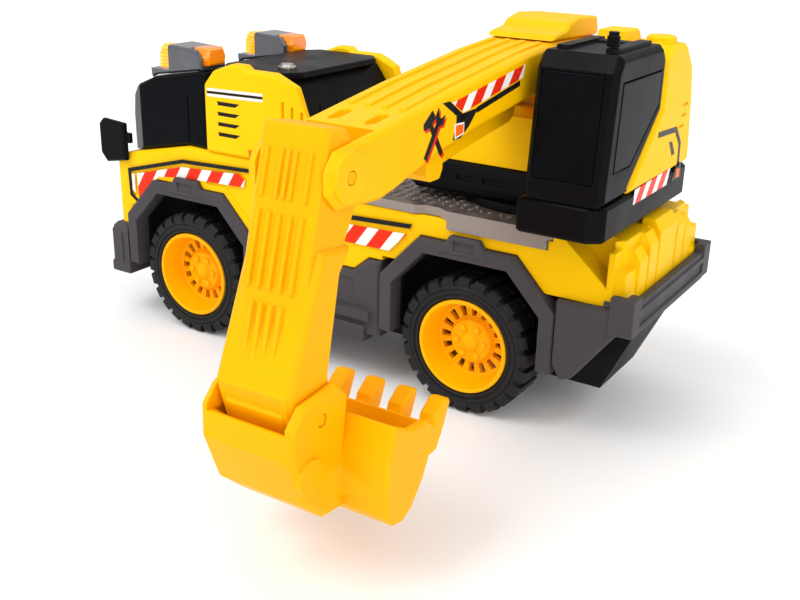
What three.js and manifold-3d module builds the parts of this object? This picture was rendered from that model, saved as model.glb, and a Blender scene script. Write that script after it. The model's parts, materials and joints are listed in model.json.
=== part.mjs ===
// A toy excavator on a two-axle truck, in millimetres, +Z up, with the truck's front towards -X.
// The turret is turned to the truck's left (-Y), with the arm out over that side and the bucket down.
// Lengths are measured from the rear axle (x = 0), the truck's middle plane (y = 0) and the ground
// (z = 0). The last lines move the whole toy so that its box stands centred on the origin.
import * as THREE from "three";
import { mergeVertices } from "three/addons/utils/BufferGeometryUtils.js";
import Module from "manifold-3d";

const wasm = await Module();
wasm.setup();

// ---- Sizes that can be set one by one --------------------------------------------------------------
const gap = 0.3; // between neighbours that touch
const wall = 2.5; // of the moulded shells and their ribs
const pocketMost = 26; // widest pocket between ribs
const wheelbase = 157;
const tyreRadius = 31.5; // to the flat top of a tread lug
const tyreWidth = 22;
const wheelRoom = 4; // between a tyre's inner wall and the chassis
const lugCount = 24;
const lugDepth = 1.8;
const rimRadius = 21.4; // the rim's outer lip
const axleRadius = 2;
const bodyHalf = 44; // middle plane to the yellow side
const archStand = 3.5; // how far the grey arches and bumpers stand out past the yellow sides
const wallSide = 6; // side skirt that the arches replace
const archThick = 6.5;
const archRoom = 4.5; // between a tyre's tread and its arch, along the truck
const noseReach = 7.5; // from the front arches to the nose
const tailReach = 71; // rear axle to the yellow tail
const cabRearX = -80; // back of the cab's lower body
const archClear = 8; // over the tyre, up to the wheel arch
const deckRise = 20; // from the wheel arches' tops to the deck
const deckPlate = 4; // thickness of the tread plate
const sillRise = 6; // from the deck to the top of the cab's lower body
const cabRise = 37; // from there to the top of the cab's black upper body
const turretX = 12.5; // swing axis
const turretRise = 4; // from the deck to the underside of the turret
const turretBaseHeight = 14;
const spindleRadius = 9;
const cabWidth = 32; // operator's cab and the housing behind it
const cabHeight = 54;
const cabReach = 65; // swing axis to the front of the operator's cab
const earRoom = 6; // between the boom's side and the operator's cab
const armWidth = 30; // boom
const stickWidth = 24.4; // stick head, inside the boom's fork
const boomPivotY = 4;
const boomPivotRise = 37.7; // over the turret's base
const boomRun = [-173.7, -10]; // boom pivot to stick pivot, in y and z
const stickRun = [-17.3, -71]; // stick pivot to bucket pivot
const bucketWidth = 70;
const bucketWall = 3;
const toothCount = 6;
const toothWidth = 6.5;
const pinRadius = 2;

const frontAxleX = -wheelbase;
const archHalfWidth = tyreRadius + archRoom;
const noseX = frontAxleX - archHalfWidth - archThick - noseReach;
const archHalf = bodyHalf + archStand; // middle plane to the grey arches and bumpers
const tyreOuter = archHalf - 1.5; // middle plane to the tyre's outer wall
const spineHalf = tyreOuter - tyreWidth - wheelRoom; // black chassis between the wheels
const archTopZ = 2 * tyreRadius + archClear;
const deckTop = archTopZ + deckRise;
const sillZ = deckTop + sillRise;
const roofZ = sillZ + cabRise;
const turretFloor = deckTop + turretRise;
const turretHalf = armWidth / 2 + earRoom + cabWidth + 0.5; // swing axis to the turret's sides
const armLeft = turretX - armWidth / 2;
const armRight = turretX + armWidth / 2;
const baseTop = turretFloor + turretBaseHeight;
const shellFloor = baseTop + gap; // underside of what stands on the turret's base

// Points given from a pivot, as points of the toy.
const around = ([u, v], points) => points.map(([du, dv]) => [u + du, v + dv]);
const boomPivot = [boomPivotY, shellFloor + boomPivotRise]; // y, z
const [stickPivot] = around(boomPivot, [boomRun]);
const [bucketPivot] = around(stickPivot, [stickRun]);

// ---- Materials -------------------------------------------------------------------------------------
const plastic = (color, roughness, more = {}) =>
  new THREE.MeshStandardMaterial({ color, roughness, metalness: 0, ...more });
const yellow = plastic("#ffcf00", 0.35);
const amberYellow = plastic("#ffb400", 0.35);
const grey = plastic("#4d4a4c", 0.5);
const plateGrey = plastic("#8f837d", 0.45);
const black = plastic("#1d1e20", 0.3);
const glass = plastic("#15181c", 0.1);
const smoke = plastic("#5b5f66", 0.15);
const amber = plastic("#ff8a00", 0.15);
const clear = plastic("#e8eef2", 0.1);
const rubber = plastic("#1b1b1c", 0.7);
const steel = new THREE.MeshStandardMaterial({ color: "#b8bcc0", roughness: 0.3, metalness: 1 });
const silver = new THREE.MeshStandardMaterial({ color: "#c9ccd0", roughness: 0.25, metalness: 0.8 });

// ---- Shapes ----------------------------------------------------------------------------------------
// A closed three.js geometry as a solid that can be joined and cut.
function solid(geometry) {
  const bare = geometry.index ? geometry.toNonIndexed() : geometry.clone();
  bare.deleteAttribute("normal");
  bare.deleteAttribute("uv");
  const merged = mergeVertices(bare, 1e-4);
  const vertProperties = merged.attributes.position.array;
  const triVerts = new Uint32Array(merged.index.array);
  return new wasm.Manifold(new wasm.Mesh({ numProp: 3, vertProperties, triVerts }));
}

function join(...pieces) {
  return pieces.flat().reduce((whole, piece) => whole.add(piece));
}

function cut(whole, ...tools) {
  return tools.flat().reduce((rest, tool) => rest.subtract(tool), whole);
}

function block(x0, x1, y0, y1, z0, z1) {
  const geometry = new THREE.BoxGeometry(x1 - x0, y1 - y0, z1 - z0);
  return solid(geometry.translate((x0 + x1) / 2, (y0 + y1) / 2, (z0 + z1) / 2));
}

// An outline drawn across an axis and pushed along it, with its edges chamfered by bevel.
// Across x the outline is (y, z), across y it is (x, z) and across z it is (x, y).
function prism(axis, outline, from, to, bevel = 0) {
  const shape = new THREE.Shape(outline.map(([u, v]) => new THREE.Vector2(u, v)));
  const geometry = new THREE.ExtrudeGeometry(shape, {
    depth: to - from - 2 * bevel,
    bevelEnabled: bevel > 0,
    bevelThickness: bevel,
    bevelSize: bevel,
    bevelOffset: -bevel,
    bevelSegments: 1,
    steps: 1,
  });
  geometry.translate(0, 0, bevel);
  if (axis === "x") geometry.rotateY(Math.PI / 2).rotateX(Math.PI / 2).translate(from, 0, 0);
  if (axis === "y") geometry.rotateX(Math.PI / 2).translate(0, to, 0);
  if (axis === "z") geometry.translate(0, 0, from);
  return solid(geometry);
}

// The same on one side of the truck: side is -1 for its left and 1 for its right.
function sidePrism(side, outline, inner, outer, bevel = 0) {
  const [from, to] = side < 0 ? [-outer, -inner] : [inner, outer];
  return prism("y", outline, from, to, bevel);
}

function sideBlock(side, x0, x1, inner, outer, z0, z1) {
  const [from, to] = side < 0 ? [-outer, -inner] : [inner, outer];
  return block(x0, x1, from, to, z0, z1);
}

function circle(u, v, radius, count, turn = 0) {
  return Array.from({ length: count }, (_, i) => {
    const angle = turn + (2 * Math.PI * i) / count;
    return [u + radius * Math.cos(angle), v + radius * Math.sin(angle)];
  });
}

function rod(axis, [u, v], radius, from, to, count = 16) {
  return prism(axis, circle(u, v, radius, count, Math.PI / count), from, to);
}

// The height of an outline's top at u, between the points of a line that runs along it.
function heightAt(line, u) {
  const next = Math.max(1, line.findIndex(([at]) => at >= u));
  const [[u0, v0], [u1, v1]] = [line[next - 1], line[next]];
  return v0 + ((v1 - v0) * (u - u0)) / (u1 - u0);
}

// Splits a span into cells no wider than pocketMost, with ribs between them.
function spans(from, to) {
  const count = Math.ceil((to - from + wall) / (pocketMost + wall));
  const pitch = (to - from + wall) / count;
  return Array.from({ length: count }, (_, i) => [from + i * pitch, from + (i + 1) * pitch - wall]);
}

// Pockets moulded into the underside of a part, up to a top line, with ribs between them.
function pocketsUnder([x0, x1], [y0, y1], floor, topLine) {
  return spans(x0, x1).flatMap(([xa, xb]) => {
    const outline = [
      [xa, floor],
      [xb, floor],
      [xb, heightAt(topLine, xb)],
      [xa, heightAt(topLine, xa)],
    ];
    return spans(y0, y1).map(([ya, yb]) => prism("y", outline, ya, yb));
  });
}

// The same where the pockets are all as deep, between two heights.
function pocketGrid([x0, x1], [y0, y1], [z0, z1]) {
  return spans(x0, x1).flatMap(([xa, xb]) =>
    spans(y0, y1).map(([ya, yb]) => block(xa, xb, ya, yb, z0, z1)),
  );
}

const root = new THREE.Group();
const toy = new THREE.Group();
root.add(toy);

// A finished solid as a named piece of the toy.
function piece(name, made, material) {
  const { vertProperties, triVerts } = made.getMesh();
  const geometry = new THREE.BufferGeometry();
  geometry.setAttribute("position", new THREE.BufferAttribute(vertProperties, 3));
  geometry.setIndex(new THREE.BufferAttribute(triVerts, 1));
  geometry.computeVertexNormals();
  const mesh = new THREE.Mesh(geometry, material);
  mesh.name = name;
  toy.add(mesh);
}

const sides = [
  { name: "left", side: -1 },
  { name: "right", side: 1 },
];

// ---- Wheels ----------------------------------------------------------------------------------------
const archTopHalf = 20; // half of the arch's flat top
const archShoulderZ = archTopZ - 17;
const archFootZ = 30;
const linerThick = 2.5;

// The octagonal wheel opening about an axle, grown outwards by a margin.
function archOutline(axleX, margin, footZ = archFootZ) {
  const slant = margin * 0.45;
  return [
    [axleX - archHalfWidth - margin, footZ],
    [axleX - archHalfWidth - margin, archShoulderZ + slant],
    [axleX - archTopHalf - slant, archTopZ + margin],
    [axleX + archTopHalf + slant, archTopZ + margin],
    [axleX + archHalfWidth + margin, archShoulderZ + slant],
    [axleX + archHalfWidth + margin, footZ],
  ];
}

const lipDepth = 1.5; // rim lip along the axle
const barrelRadius = rimRadius - 1.4;
const hubDepth = 8.5; // rim lip to the face of the hub
const axleHalf = tyreOuter - hubDepth - 1.5 - gap;

// A lug's flat top is a chord at tyreRadius, so the lowest lug stands flat on the ground.
function treadOutline() {
  const half = (Math.PI * tyreRadius) / lugCount - 1.4;
  const floor = tyreRadius - lugDepth;
  const corners = [
    [floor, -half - 0.4],
    [tyreRadius, -half],
    [tyreRadius, half],
    [floor, half + 0.4],
  ];
  return Array.from({ length: lugCount }, (_, i) => {
    const angle = (2 * Math.PI * i) / lugCount - Math.PI / 2;
    return corners.map(([out, along]) => [
      out * Math.cos(angle) - along * Math.sin(angle),
      out * Math.sin(angle) + along * Math.cos(angle),
    ]);
  }).flat();
}

function tyre(side) {
  const inner = tyreOuter - tyreWidth;
  const shoulder = 2;
  const carcass = sidePrism(side, circle(0, 0, tyreRadius - lugDepth, 48), inner, tyreOuter, 3);
  const tread = sidePrism(side, treadOutline(), inner + shoulder, tyreOuter - shoulder);
  const seat = circle(0, 0, barrelRadius + gap, 32, Math.PI / 32);
  const lipSeat = circle(0, 0, rimRadius + gap, 32, Math.PI / 32);
  return cut(
    join(carcass, tread),
    sidePrism(side, seat, inner - 1, tyreOuter + 1),
    sidePrism(side, lipSeat, tyreOuter - lipDepth - gap, tyreOuter + 1),
  );
}

// Turned about the axle: radius, then distance in from the outer lip.
function rim(side) {
  const webDepth = 11;
  const backDepth = 20;
  const profile = [
    [0, hubDepth - 1.5],
    [4.2, hubDepth - 1.5],
    [4.6, hubDepth],
    [9.4, hubDepth],
    [10.2, webDepth],
    [16.6, webDepth],
    [rimRadius - 1.6, 0],
    [rimRadius, 0],
    [rimRadius, lipDepth],
    [barrelRadius, lipDepth],
    [barrelRadius, backDepth],
    [barrelRadius - 2, backDepth],
    [barrelRadius - 2, webDepth + 3],
    [5, webDepth + 3],
    [5, backDepth],
    [axleRadius + gap, backDepth],
    [axleRadius + gap, hubDepth + 1.5],
    [0, hubDepth + 1.5],
  ];
  const points = profile.map(([r, depth]) => new THREE.Vector2(r, side * (tyreOuter - depth)));
  if (side > 0) points.reverse();
  const turned = solid(new THREE.LatheGeometry(points, 32));
  const slots = Array.from({ length: 16 }, (_, i) => {
    const angle = (2 * Math.PI * i) / 16;
    const slot = new THREE.BoxGeometry(5, 6, 2.7).translate(13.7, 0, 0).rotateY(angle);
    return solid(slot.translate(0, side * (tyreOuter - webDepth - 1.5), 0));
  });
  const nuts = circle(0, 0, 6.9, 6).map(([x, z]) => {
    const nut = circle(x, z, 1.5, 6);
    return sidePrism(side, nut, tyreOuter - hubDepth - 1, tyreOuter - hubDepth + 1.3);
  });
  return join(cut(turned, slots), nuts);
}

function wheelSet(name, axleX) {
  const lift = (made) => made.translate(axleX, 0, tyreRadius);
  piece(`${name}_axle`, lift(rod("y", [0, 0], axleRadius, -axleHalf, axleHalf, 12)), steel);
  for (const { name: sideName, side } of sides) {
    piece(`${name}_${sideName}_tyre`, lift(tyre(side)), rubber);
    piece(`${name}_${sideName}_rim`, lift(rim(side)), yellow);
  }
}

// ---- Chassis ---------------------------------------------------------------------------------------
const spineFloor = tyreRadius - 14.5;
const spineTop = archTopZ + 2;
const spineFront = noseX + 6;
const spineRear = tailReach - 4;
const doorFront = frontAxleX + 40;
const doorRear = -34;
const doorHalf = 15;
const doorThick = 2.5;
const doorScrewX = (doorFront + doorRear) / 2;
const washerRadius = 12.5;
const washerThick = 2;
const spindleFoot = deckTop - 25;
const bodyBolts = [frontAxleX - 30, frontAxleX + 30, -26, 44];
const boltHead = 2.6;
const boltShank = 1.2;
const boltZ = spineFloor + 3;
const screwShank = 1.6; // of the spindle's screw
const pocketFloor = tyreRadius + 8.5; // over the axles and the battery bay
const bayTop = pocketFloor - 4;

function chassisBase() {
  const spine = prism(
    "y",
    [
      [spineFront, spineFloor + 12],
      [spineFront + 10, spineFloor],
      [spineRear - 12, spineFloor],
      [spineRear, spineFloor + 26],
      [spineRear, spineTop],
      [spineFront, spineTop],
    ],
    -spineHalf,
    spineHalf,
  );
  const liners = [0, frontAxleX].flatMap((axleX) =>
    sides.map(({ side }) =>
      cut(
        sidePrism(side, archOutline(axleX, linerThick), spineHalf - 0.5, bodyHalf - wallSide - gap),
        sidePrism(side, archOutline(axleX, 0, archFootZ - 5), spineHalf, bodyHalf),
      ),
    ),
  );
  const bearings = [0, frontAxleX].map((axleX) =>
    rod("y", [axleX, tyreRadius], axleRadius + gap, -spineHalf - 1, spineHalf + 1),
  );
  const bay = block(doorFront + 6, doorRear - 6, -doorHalf + 2, doorHalf - 2, spineFloor - 1, bayTop);
  const doorSeat = block(
    doorFront - gap,
    doorRear + gap,
    -doorHalf - gap,
    doorHalf + gap,
    spineFloor - 1,
    spineFloor + doorThick + gap,
  );
  const bossFloor = spineFloor + doorThick + gap;
  const doorBoss = block(doorScrewX - 4, doorScrewX + 4, -5, 5, bossFloor, bayTop + 0.5);
  const doorScrew = rod("z", [doorScrewX, 0], boltShank + gap, spineFloor, bayTop - 6, 12);
  const spindleHole = rod("z", [turretX, 0], spindleRadius + gap, spindleFoot - 1, spineTop + 1, 32);
  const washerBay = rod("z", [turretX, 0], washerRadius + 1, spineFloor - 1, spindleFoot + 2, 24);
  const boltHoles = bodyBolts.map((x) => rod("z", [x, 0], boltHead + gap, spineFloor - 1, boltZ, 12));
  const shafts = bodyBolts.map((x) =>
    rod("z", [x, 0], boltShank + gap, boltZ - 1, pocketFloor - wall, 12),
  );
  const across = [-spineHalf + wall, spineHalf - wall];
  const above = [pocketFloor, spineTop + 1];
  const column = washerRadius + 1 + wall;
  const pockets = [
    ...pocketGrid([spineFront + wall, turretX - column], across, above),
    ...pocketGrid([turretX + column, spineRear - wall], across, above),
  ];
  const base = cut(join(spine, liners), bearings, cut(bay, doorBoss), doorSeat, doorScrew);
  return cut(base, spindleHole, washerBay, boltHoles, shafts, pockets);
}

// A cross-head screw on the middle plane, with its head down.
function bolt(x, headRadius, headFloor, headTop, tip) {
  const head = rod("z", [x, 0], headRadius, headFloor, headTop, 12);
  const shank = rod("z", [x, 0], headRadius * 0.45, headTop - 0.5, tip, 12);
  const half = 0.35;
  const recess = headFloor + 0.6;
  const slot = block(x - headRadius, x + headRadius, -half, half, headFloor - 1, recess);
  const cross = block(x - half, x + half, -headRadius, headRadius, headFloor - 1, recess);
  return cut(join(head, shank), slot, cross);
}

// ---- Truck body ------------------------------------------------------------------------------------
const noseFloor = 50; // underside of the cab's lower body
const noseTop = sillZ - 8.5; // where the glazing starts
const skirtZ = 61.7; // lower edge of the yellow sides next to the arches
const dipZ = 55; // and between them
const boxFrontX = frontAxleX + archHalfWidth + archThick + gap;
const boxRearX = -archHalfWidth - archThick - gap;
const railZ = 64; // lower edge of the yellow tail
const bodyBevel = 1.2;
const lipWidth = 3;
const grilleHalf = 24;
const grilleZ = 58;
const lampInner = 28;

// Below the skirt line, between the arches, the grey side box takes over.
const boxTop = [
  [boxFrontX, skirtZ],
  [boxFrontX + 7, skirtZ],
  [boxFrontX + 15, dipZ],
  [boxRearX - 15, dipZ],
  [boxRearX - 7, skirtZ],
  [boxRearX, skirtZ],
];

// What every yellow body moulding leaves free: the spine, the wheel wells and the arches.
function bodyClearance() {
  const half = spineHalf + gap;
  const spine = block(noseX + 4, spineRear + gap, -half, half, 0, spineTop + gap);
  const wells = [0, frontAxleX].flatMap((axleX) =>
    sides.flatMap(({ side }) => [
      sidePrism(side, archOutline(axleX, linerThick + gap, 0), spineHalf - 1, bodyHalf),
      sidePrism(side, archOutline(axleX, archThick + gap, 0), bodyHalf - wallSide, bodyHalf + 9),
    ]),
  );
  return [spine, ...wells];
}

function cabBody() {
  const outline = [
    [noseX, noseFloor],
    [noseX, noseTop - 4.5],
    [noseX + 7, noseTop],
    [frontAxleX, sillZ + 0.5],
    [frontAxleX + 13, sillZ],
    [cabRearX, sillZ],
    [cabRearX, dipZ + gap],
    [boxFrontX, dipZ + gap],
    [boxFrontX, noseFloor],
  ];
  const shell = prism("y", outline, -bodyHalf, bodyHalf, bodyBevel);
  const boxes = sides.map(({ side }) =>
    sidePrism(side, boxUnder(gap), spineHalf - 1, bodyHalf + 9),
  );
  const grille = block(noseX - 1, noseX + 3, -grilleHalf, grilleHalf, grilleZ, grilleZ + 18);
  const [lampFloor, lampTop] = [grilleZ + 2, grilleZ + 16];
  const lamps = sides.map(({ side }) =>
    sideBlock(side, noseX - 1, noseX + 3, lampInner - 0.5, lampInner + 12.5, lampFloor, lampTop),
  );
  const doorLine = sides.map(({ side }) => doorGroove(side));
  const roofLine = [
    [noseX, noseTop - wall],
    [noseX + 7, noseTop - wall],
    [frontAxleX, sillZ - wall],
    [cabRearX, sillZ - wall],
  ];
  const half = bodyHalf - wall;
  const hollows = pocketsUnder([noseX + 6, cabRearX - wall], [-half, half], spineTop - 4, roofLine);
  const body = join(shell, sides.map(({ side }) => archLip(side)));
  return cut(body, bodyClearance(), boxes, grille, lamps, doorLine, hollows);
}

// The raised lip of the yellow side around the front arch and the pad on its top.
function archLip(side) {
  const [inner, outer] = [bodyHalf - 1, bodyHalf + 1];
  const ring = sidePrism(side, archOutline(frontAxleX, archThick + lipWidth), inner, outer, 0.4);
  const crown = sidePrism(side, padOutline(frontAxleX, lipWidth), inner, outer, 0.4);
  const below = block(noseX, boxFrontX + 20, -outer - 1, outer + 1, 0, skirtZ);
  const pad = sidePrism(side, padOutline(frontAxleX, gap), bodyHalf, outer + 1);
  return cut(join(ring, crown), below, pad);
}

// The outline of the pad on an arch's top, grown by a margin.
function padOutline(axleX, margin) {
  const top = archTopZ + archThick + 4 + margin;
  return [
    [axleX - 12 - margin, archTopZ + 2.5],
    [axleX - 7 - margin, top],
    [axleX + 7 + margin, top],
    [axleX + 12 + margin, archTopZ + 2.5],
  ];
}

// The door's edge: a groove down the side behind the front arch.
function doorGroove(side) {
  const rear = cabRearX - 13;
  return sideBlock(side, rear - 1, rear, bodyHalf - 0.8, bodyHalf + 1, skirtZ + 4.3, sillZ + 1);
}

// The region that the side box fills, with a margin above it.
function boxUnder(margin) {
  const top = boxTop.map(([x, z]) => [x, z + margin]);
  top[0][0] -= 5;
  top[5][0] += 5;
  return [[boxRearX + 5, 0], [boxFrontX - 5, 0], ...top];
}

const tailFront = 36; // where the tread plate's sides end
const deckLip = 1.5; // how far the tread plate stands out past the body's sides
const deckCorner = 14; // the cut corner at the tread plate's rear
const skirtFront = -10; // where the tread plate's edge grows deeper
const skirtDrop = 8;
const finSplit = 0.9; // half of the groove between two fins
// The tail's fins on each side of the middle: inner side, outer side and top.
const finSteps = [
  [0, 11, deckTop + 2],
  [11, 22, deckTop - 1],
  [22, 33, deckTop - 5],
  [33, bodyHalf - 0.5, deckTop - 18],
];

function rearBody() {
  const top = deckTop - deckPlate - gap;
  const outline = [
    [cabRearX + gap, dipZ + gap],
    [cabRearX + gap, top],
    [tailReach - 6, top],
    [tailReach - 6, railZ],
    [boxRearX, railZ],
    [boxRearX, dipZ + gap],
  ];
  const shell = prism("y", outline, -bodyHalf, bodyHalf);
  const shelf = prism(
    "z",
    [
      [tailFront + deckLip + 2 * gap, -bodyHalf],
      [tailReach - 14, -bodyHalf],
      [tailReach - 5, -bodyHalf + 9],
      [tailReach - 5, bodyHalf - 9],
      [tailReach - 14, bodyHalf],
      [tailFront + deckLip + 2 * gap, bodyHalf],
      [tailFront + deckCorner + 2 * gap, bodyHalf + deckLip - deckCorner],
      [tailFront + deckCorner + 2 * gap, -bodyHalf - deckLip + deckCorner],
    ],
    railZ,
    deckTop - 1,
  );
  const fins = sides.flatMap(({ side }) =>
    finSteps.map(([inner, outer, z]) => {
      const lean = [
        [tailReach - 9, railZ],
        [tailReach, railZ],
        [tailReach, z - 5],
        [tailReach - 3, z],
        [tailReach - 9, z],
      ];
      return sidePrism(side, lean, inner ? inner + finSplit : -0.5, outer - finSplit);
    }),
  );
  const wallHalf = bodyHalf - 1;
  const tailWall = block(tailReach - 9, tailReach - 1.2, -wallHalf, wallHalf, railZ, deckTop - 12);
  const boxes = sides.map(({ side }) =>
    sidePrism(side, boxUnder(gap), spineHalf - 1, bodyHalf + 9),
  );
  const slopes = sides.map(({ side }) => cornerSlope(side));
  const [front, rear, floor] = [skirtFront - gap, tailFront + gap, deckTop - skirtDrop - gap];
  const skirt = sides.map(({ side }) =>
    sideBlock(side, front, rear, bodyHalf - 4 - gap, bodyHalf + 1, floor, deckTop + 8),
  );
  const spindle = rod("z", [turretX, 0], spindleRadius + gap, spindleFoot - 16, deckTop + 9, 32);
  const rail = block(boxRearX + 40, tailReach + 1, -bodyHalf - 1, bodyHalf + 1, 0, railZ);
  return cut(
    join(shell, shelf, fins, tailWall),
    bodyClearance(),
    boxes,
    slopes,
    skirt,
    spindle,
    rail,
    rearPockets(top - wall),
  );
}

// The spindle's column stays whole.
function rearPockets(top) {
  const across = [-bodyHalf + wall, bodyHalf - wall];
  const column = spindleRadius + gap + wall;
  const keep = block(turretX - column, turretX + column, -column, column, 0, deckTop);
  const under = pocketGrid([cabRearX + gap + wall, tailFront], across, [spineTop - 4, top]);
  return under.map((pocket) => cut(pocket, keep));
}

// The slope that takes the tail's outer corner down to the lowest fin.
function cornerSlope(side) {
  const wedge = [
    [tailFront + 5, deckTop],
    [tailReach - 9, finSteps[3][2] - 1],
    [tailReach - 9, deckTop + 9],
    [tailFront + 5, deckTop + 9],
  ];
  return sidePrism(side, wedge, finSteps[3][0], bodyHalf + 1);
}

function deckPiece() {
  const half = bodyHalf + deckLip;
  const edge = [
    [cabRearX + gap, half - 0.5],
    [-26, half - 0.5],
    [-22, half - 3],
    [-15, half - 3],
    [skirtFront, half],
    [tailFront, half],
    [tailFront + deckCorner, half - deckCorner],
  ];
  const outline = [...edge.map(([x, y]) => [x, -y]), ...edge.toReversed()];
  const plate = prism("z", outline, deckTop - deckPlate, deckTop);
  const skirts = sides.map(({ side }) =>
    sideBlock(side, skirtFront, tailFront, bodyHalf - 4, half, deckTop - skirtDrop, deckTop - 0.5),
  );
  const spindle = rod("z", [turretX, 0], spindleRadius + gap, deckTop - 11, deckTop + 1, 32);
  return cut(join(plate, skirts), spindle);
}

function wheelArch(side, axleX) {
  const ring = cut(
    sidePrism(side, archOutline(axleX, archThick), bodyHalf - wallSide + gap, archHalf, 1),
    sidePrism(side, archOutline(axleX, 0, 0), 0, archHalf + 1),
  );
  const pad = sidePrism(side, padOutline(axleX, 0), bodyHalf + gap, archHalf + 0.8, 0.8);
  const dentZ = archTopZ + 4;
  const dent = sideBlock(side, axleX - 5, axleX + 5, archHalf - 0.4, archHalf + 2, dentZ, dentZ + 4.5);
  return join(ring, cut(pad, dent));
}

function sideBox(side) {
  const floor = 25;
  const outline = [[boxRearX, floor], [boxFrontX, floor], ...boxTop];
  const box = sidePrism(side, outline, spineHalf + gap, archHalf - 1.5, 1.2);
  const step = sideBlock(side, boxFrontX + 4, boxRearX - 4, bodyHalf, archHalf + 1.5, 33, 37.5);
  const toe = sideBlock(side, boxFrontX + 7, boxRearX - 7, bodyHalf - 6, archHalf + 0.5, 22, 30);
  const panel = sideBlock(side, boxFrontX + 14, boxRearX - 14, archHalf - 2.3, archHalf, 41, 51);
  const hollows = spans(boxFrontX + 4, boxRearX - 4).map(([xa, xb]) =>
    sideBlock(side, xa, xb, spineHalf - 1, archHalf - 2.5 - wall, floor + wall, dipZ - wall),
  );
  return cut(join(box, step, toe), panel, hollows);
}

function frontBumper() {
  const back = frontAxleX - archHalfWidth - archThick - gap;
  const face = noseX - 10;
  const plan = [
    [back, -archHalf],
    [face + 6, -archHalf],
    [face, -archHalf + 8],
    [face, archHalf - 8],
    [face + 6, archHalf],
    [back, archHalf],
  ];
  const bar = prism("z", plan, 26, 48, 1.5);
  const lip = prism("z", plan.map(([x, y]) => [x === back ? x : x - 1.5, y]), 23, 29, 0.8);
  const ribs = sides.flatMap(({ side }) => [
    sideBlock(side, face - 1, face + 2, 20, 22, 30, 46),
    sideBlock(side, face - 1, face + 2, 38, 40, 30, 46),
    sideBlock(side, back - 6, back - 4, archHalf - 1, archHalf + 0.8, 30, 46),
  ]);
  const lamps = sides.map(({ side }) => sideBlock(side, face - 2, face + 3, 25.6, 34.4, 34.6, 42.4));
  const half = bodyHalf + gap;
  const behind = block(noseX - gap, back + 1, -half, half, noseFloor - gap, noseFloor + 10);
  const spine = block(spineFront - gap, back + 1, -spineHalf - gap, spineHalf + gap, 0, 60);
  return cut(join(cut(bar, lamps), lip, ribs), behind, spine);
}

function rearBumper() {
  const front = archHalfWidth + archThick + gap;
  const rear = tailReach + 5;
  const rail = [
    [front, 36],
    [front + 4, 29],
    [front + 9, 31],
    [rear - 8, railZ - 11],
    [rear - 1.5, railZ - 7],
    [rear - 1.5, railZ + 3],
    [rear - 6, railZ + 1],
    [front, railZ - gap],
  ];
  const ends = sides.flatMap(({ side }) => [
    sidePrism(side, rail, bodyHalf - 6, archHalf, 1),
    sideBlock(side, rear - 10, rear, archHalf - 8, archHalf + 0.7, railZ - 9, railZ + 6.5),
  ]);
  const bar = block(tailReach - 9, rear - 1, -archHalf + 3, archHalf - 3, railZ - 11, railZ + 3);
  const ribs = [railZ - 9, railZ - 2].map((z) =>
    block(tailReach - 7, rear, -archHalf + 8, archHalf - 8, z, z + 2.5),
  );
  const spine = block(0, spineRear + gap, -spineHalf - gap, spineHalf + gap, 0, deckTop);
  const tail = block(0, tailReach + gap, -bodyHalf - gap, bodyHalf + gap, railZ - gap, deckTop);
  return cut(join(ends, bar, ribs), spine, tail);
}

// ---- Truck cab -------------------------------------------------------------------------------------
const panelInner = bodyHalf - 6; // middle plane to the side panels' inner faces
const panelOuter = bodyHalf + 1.5;
const panelFront = frontAxleX + 13;
const panelRear = cabRearX - 1;
const panelTop = roofZ + 6;
const cabFloor = sillZ + gap;

function sidePanel(side) {
  const outline = [
    [panelFront, cabFloor],
    [panelFront, panelTop - 11],
    [panelFront + 6, panelTop - 4],
    [panelFront + 17, panelTop],
    [panelFront + 24, panelTop],
    [panelFront + 26.5, panelTop - 2],
    [panelRear - 22, panelTop - 2],
    [panelRear - 10, panelTop - 7],
    [panelRear - 2, panelTop - 28],
    [panelRear, cabFloor],
  ];
  const panel = sidePrism(side, outline, panelInner, panelOuter, 1.2);
  const louvres = [0, 1, 2, 3].map((i) => {
    const z = sillZ + 8.7 + 4.85 * i;
    const slot = [
      [panelFront + 8.3, z],
      [panelFront + 19, z],
      [panelFront + 21.5, z + 1.8],
      [panelFront + 8.3, z + 1.8],
    ];
    return sidePrism(side, slot, panelOuter - 1.6, panelOuter + 1);
  });
  const rearCorner = [
    [panelRear - 20, panelOuter + 3],
    [panelRear - 20, panelOuter],
    [panelRear - 8, panelOuter - 3],
    [panelRear + 3, panelOuter - 7],
    [panelRear + 3, panelOuter + 3],
  ].map(([x, y]) => [x, side * y]);
  const grooves = [0, 1, 2].map((i) => {
    const x = panelRear - 17 + 4.5 * i;
    const [floor, top] = [sillZ + 6, panelTop - 14 - 2 * i];
    return sideBlock(side, x, x + 1, panelOuter - 3.5 - i * 1.2, panelOuter + 1, floor, top);
  });
  return cut(panel, louvres, prism("z", rearCorner, sillZ - 1, panelTop + 1), grooves);
}

const glazingFront = noseX + 7;
const glazingTop = [
  [glazingFront, roofZ - 26.5],
  [glazingFront + 2.5, roofZ - 17],
  [glazingFront + 11, roofZ - 9.7],
  [glazingFront + 22, roofZ - 5],
  [panelFront - 6, roofZ],
  [panelFront - gap, roofZ],
];

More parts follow.
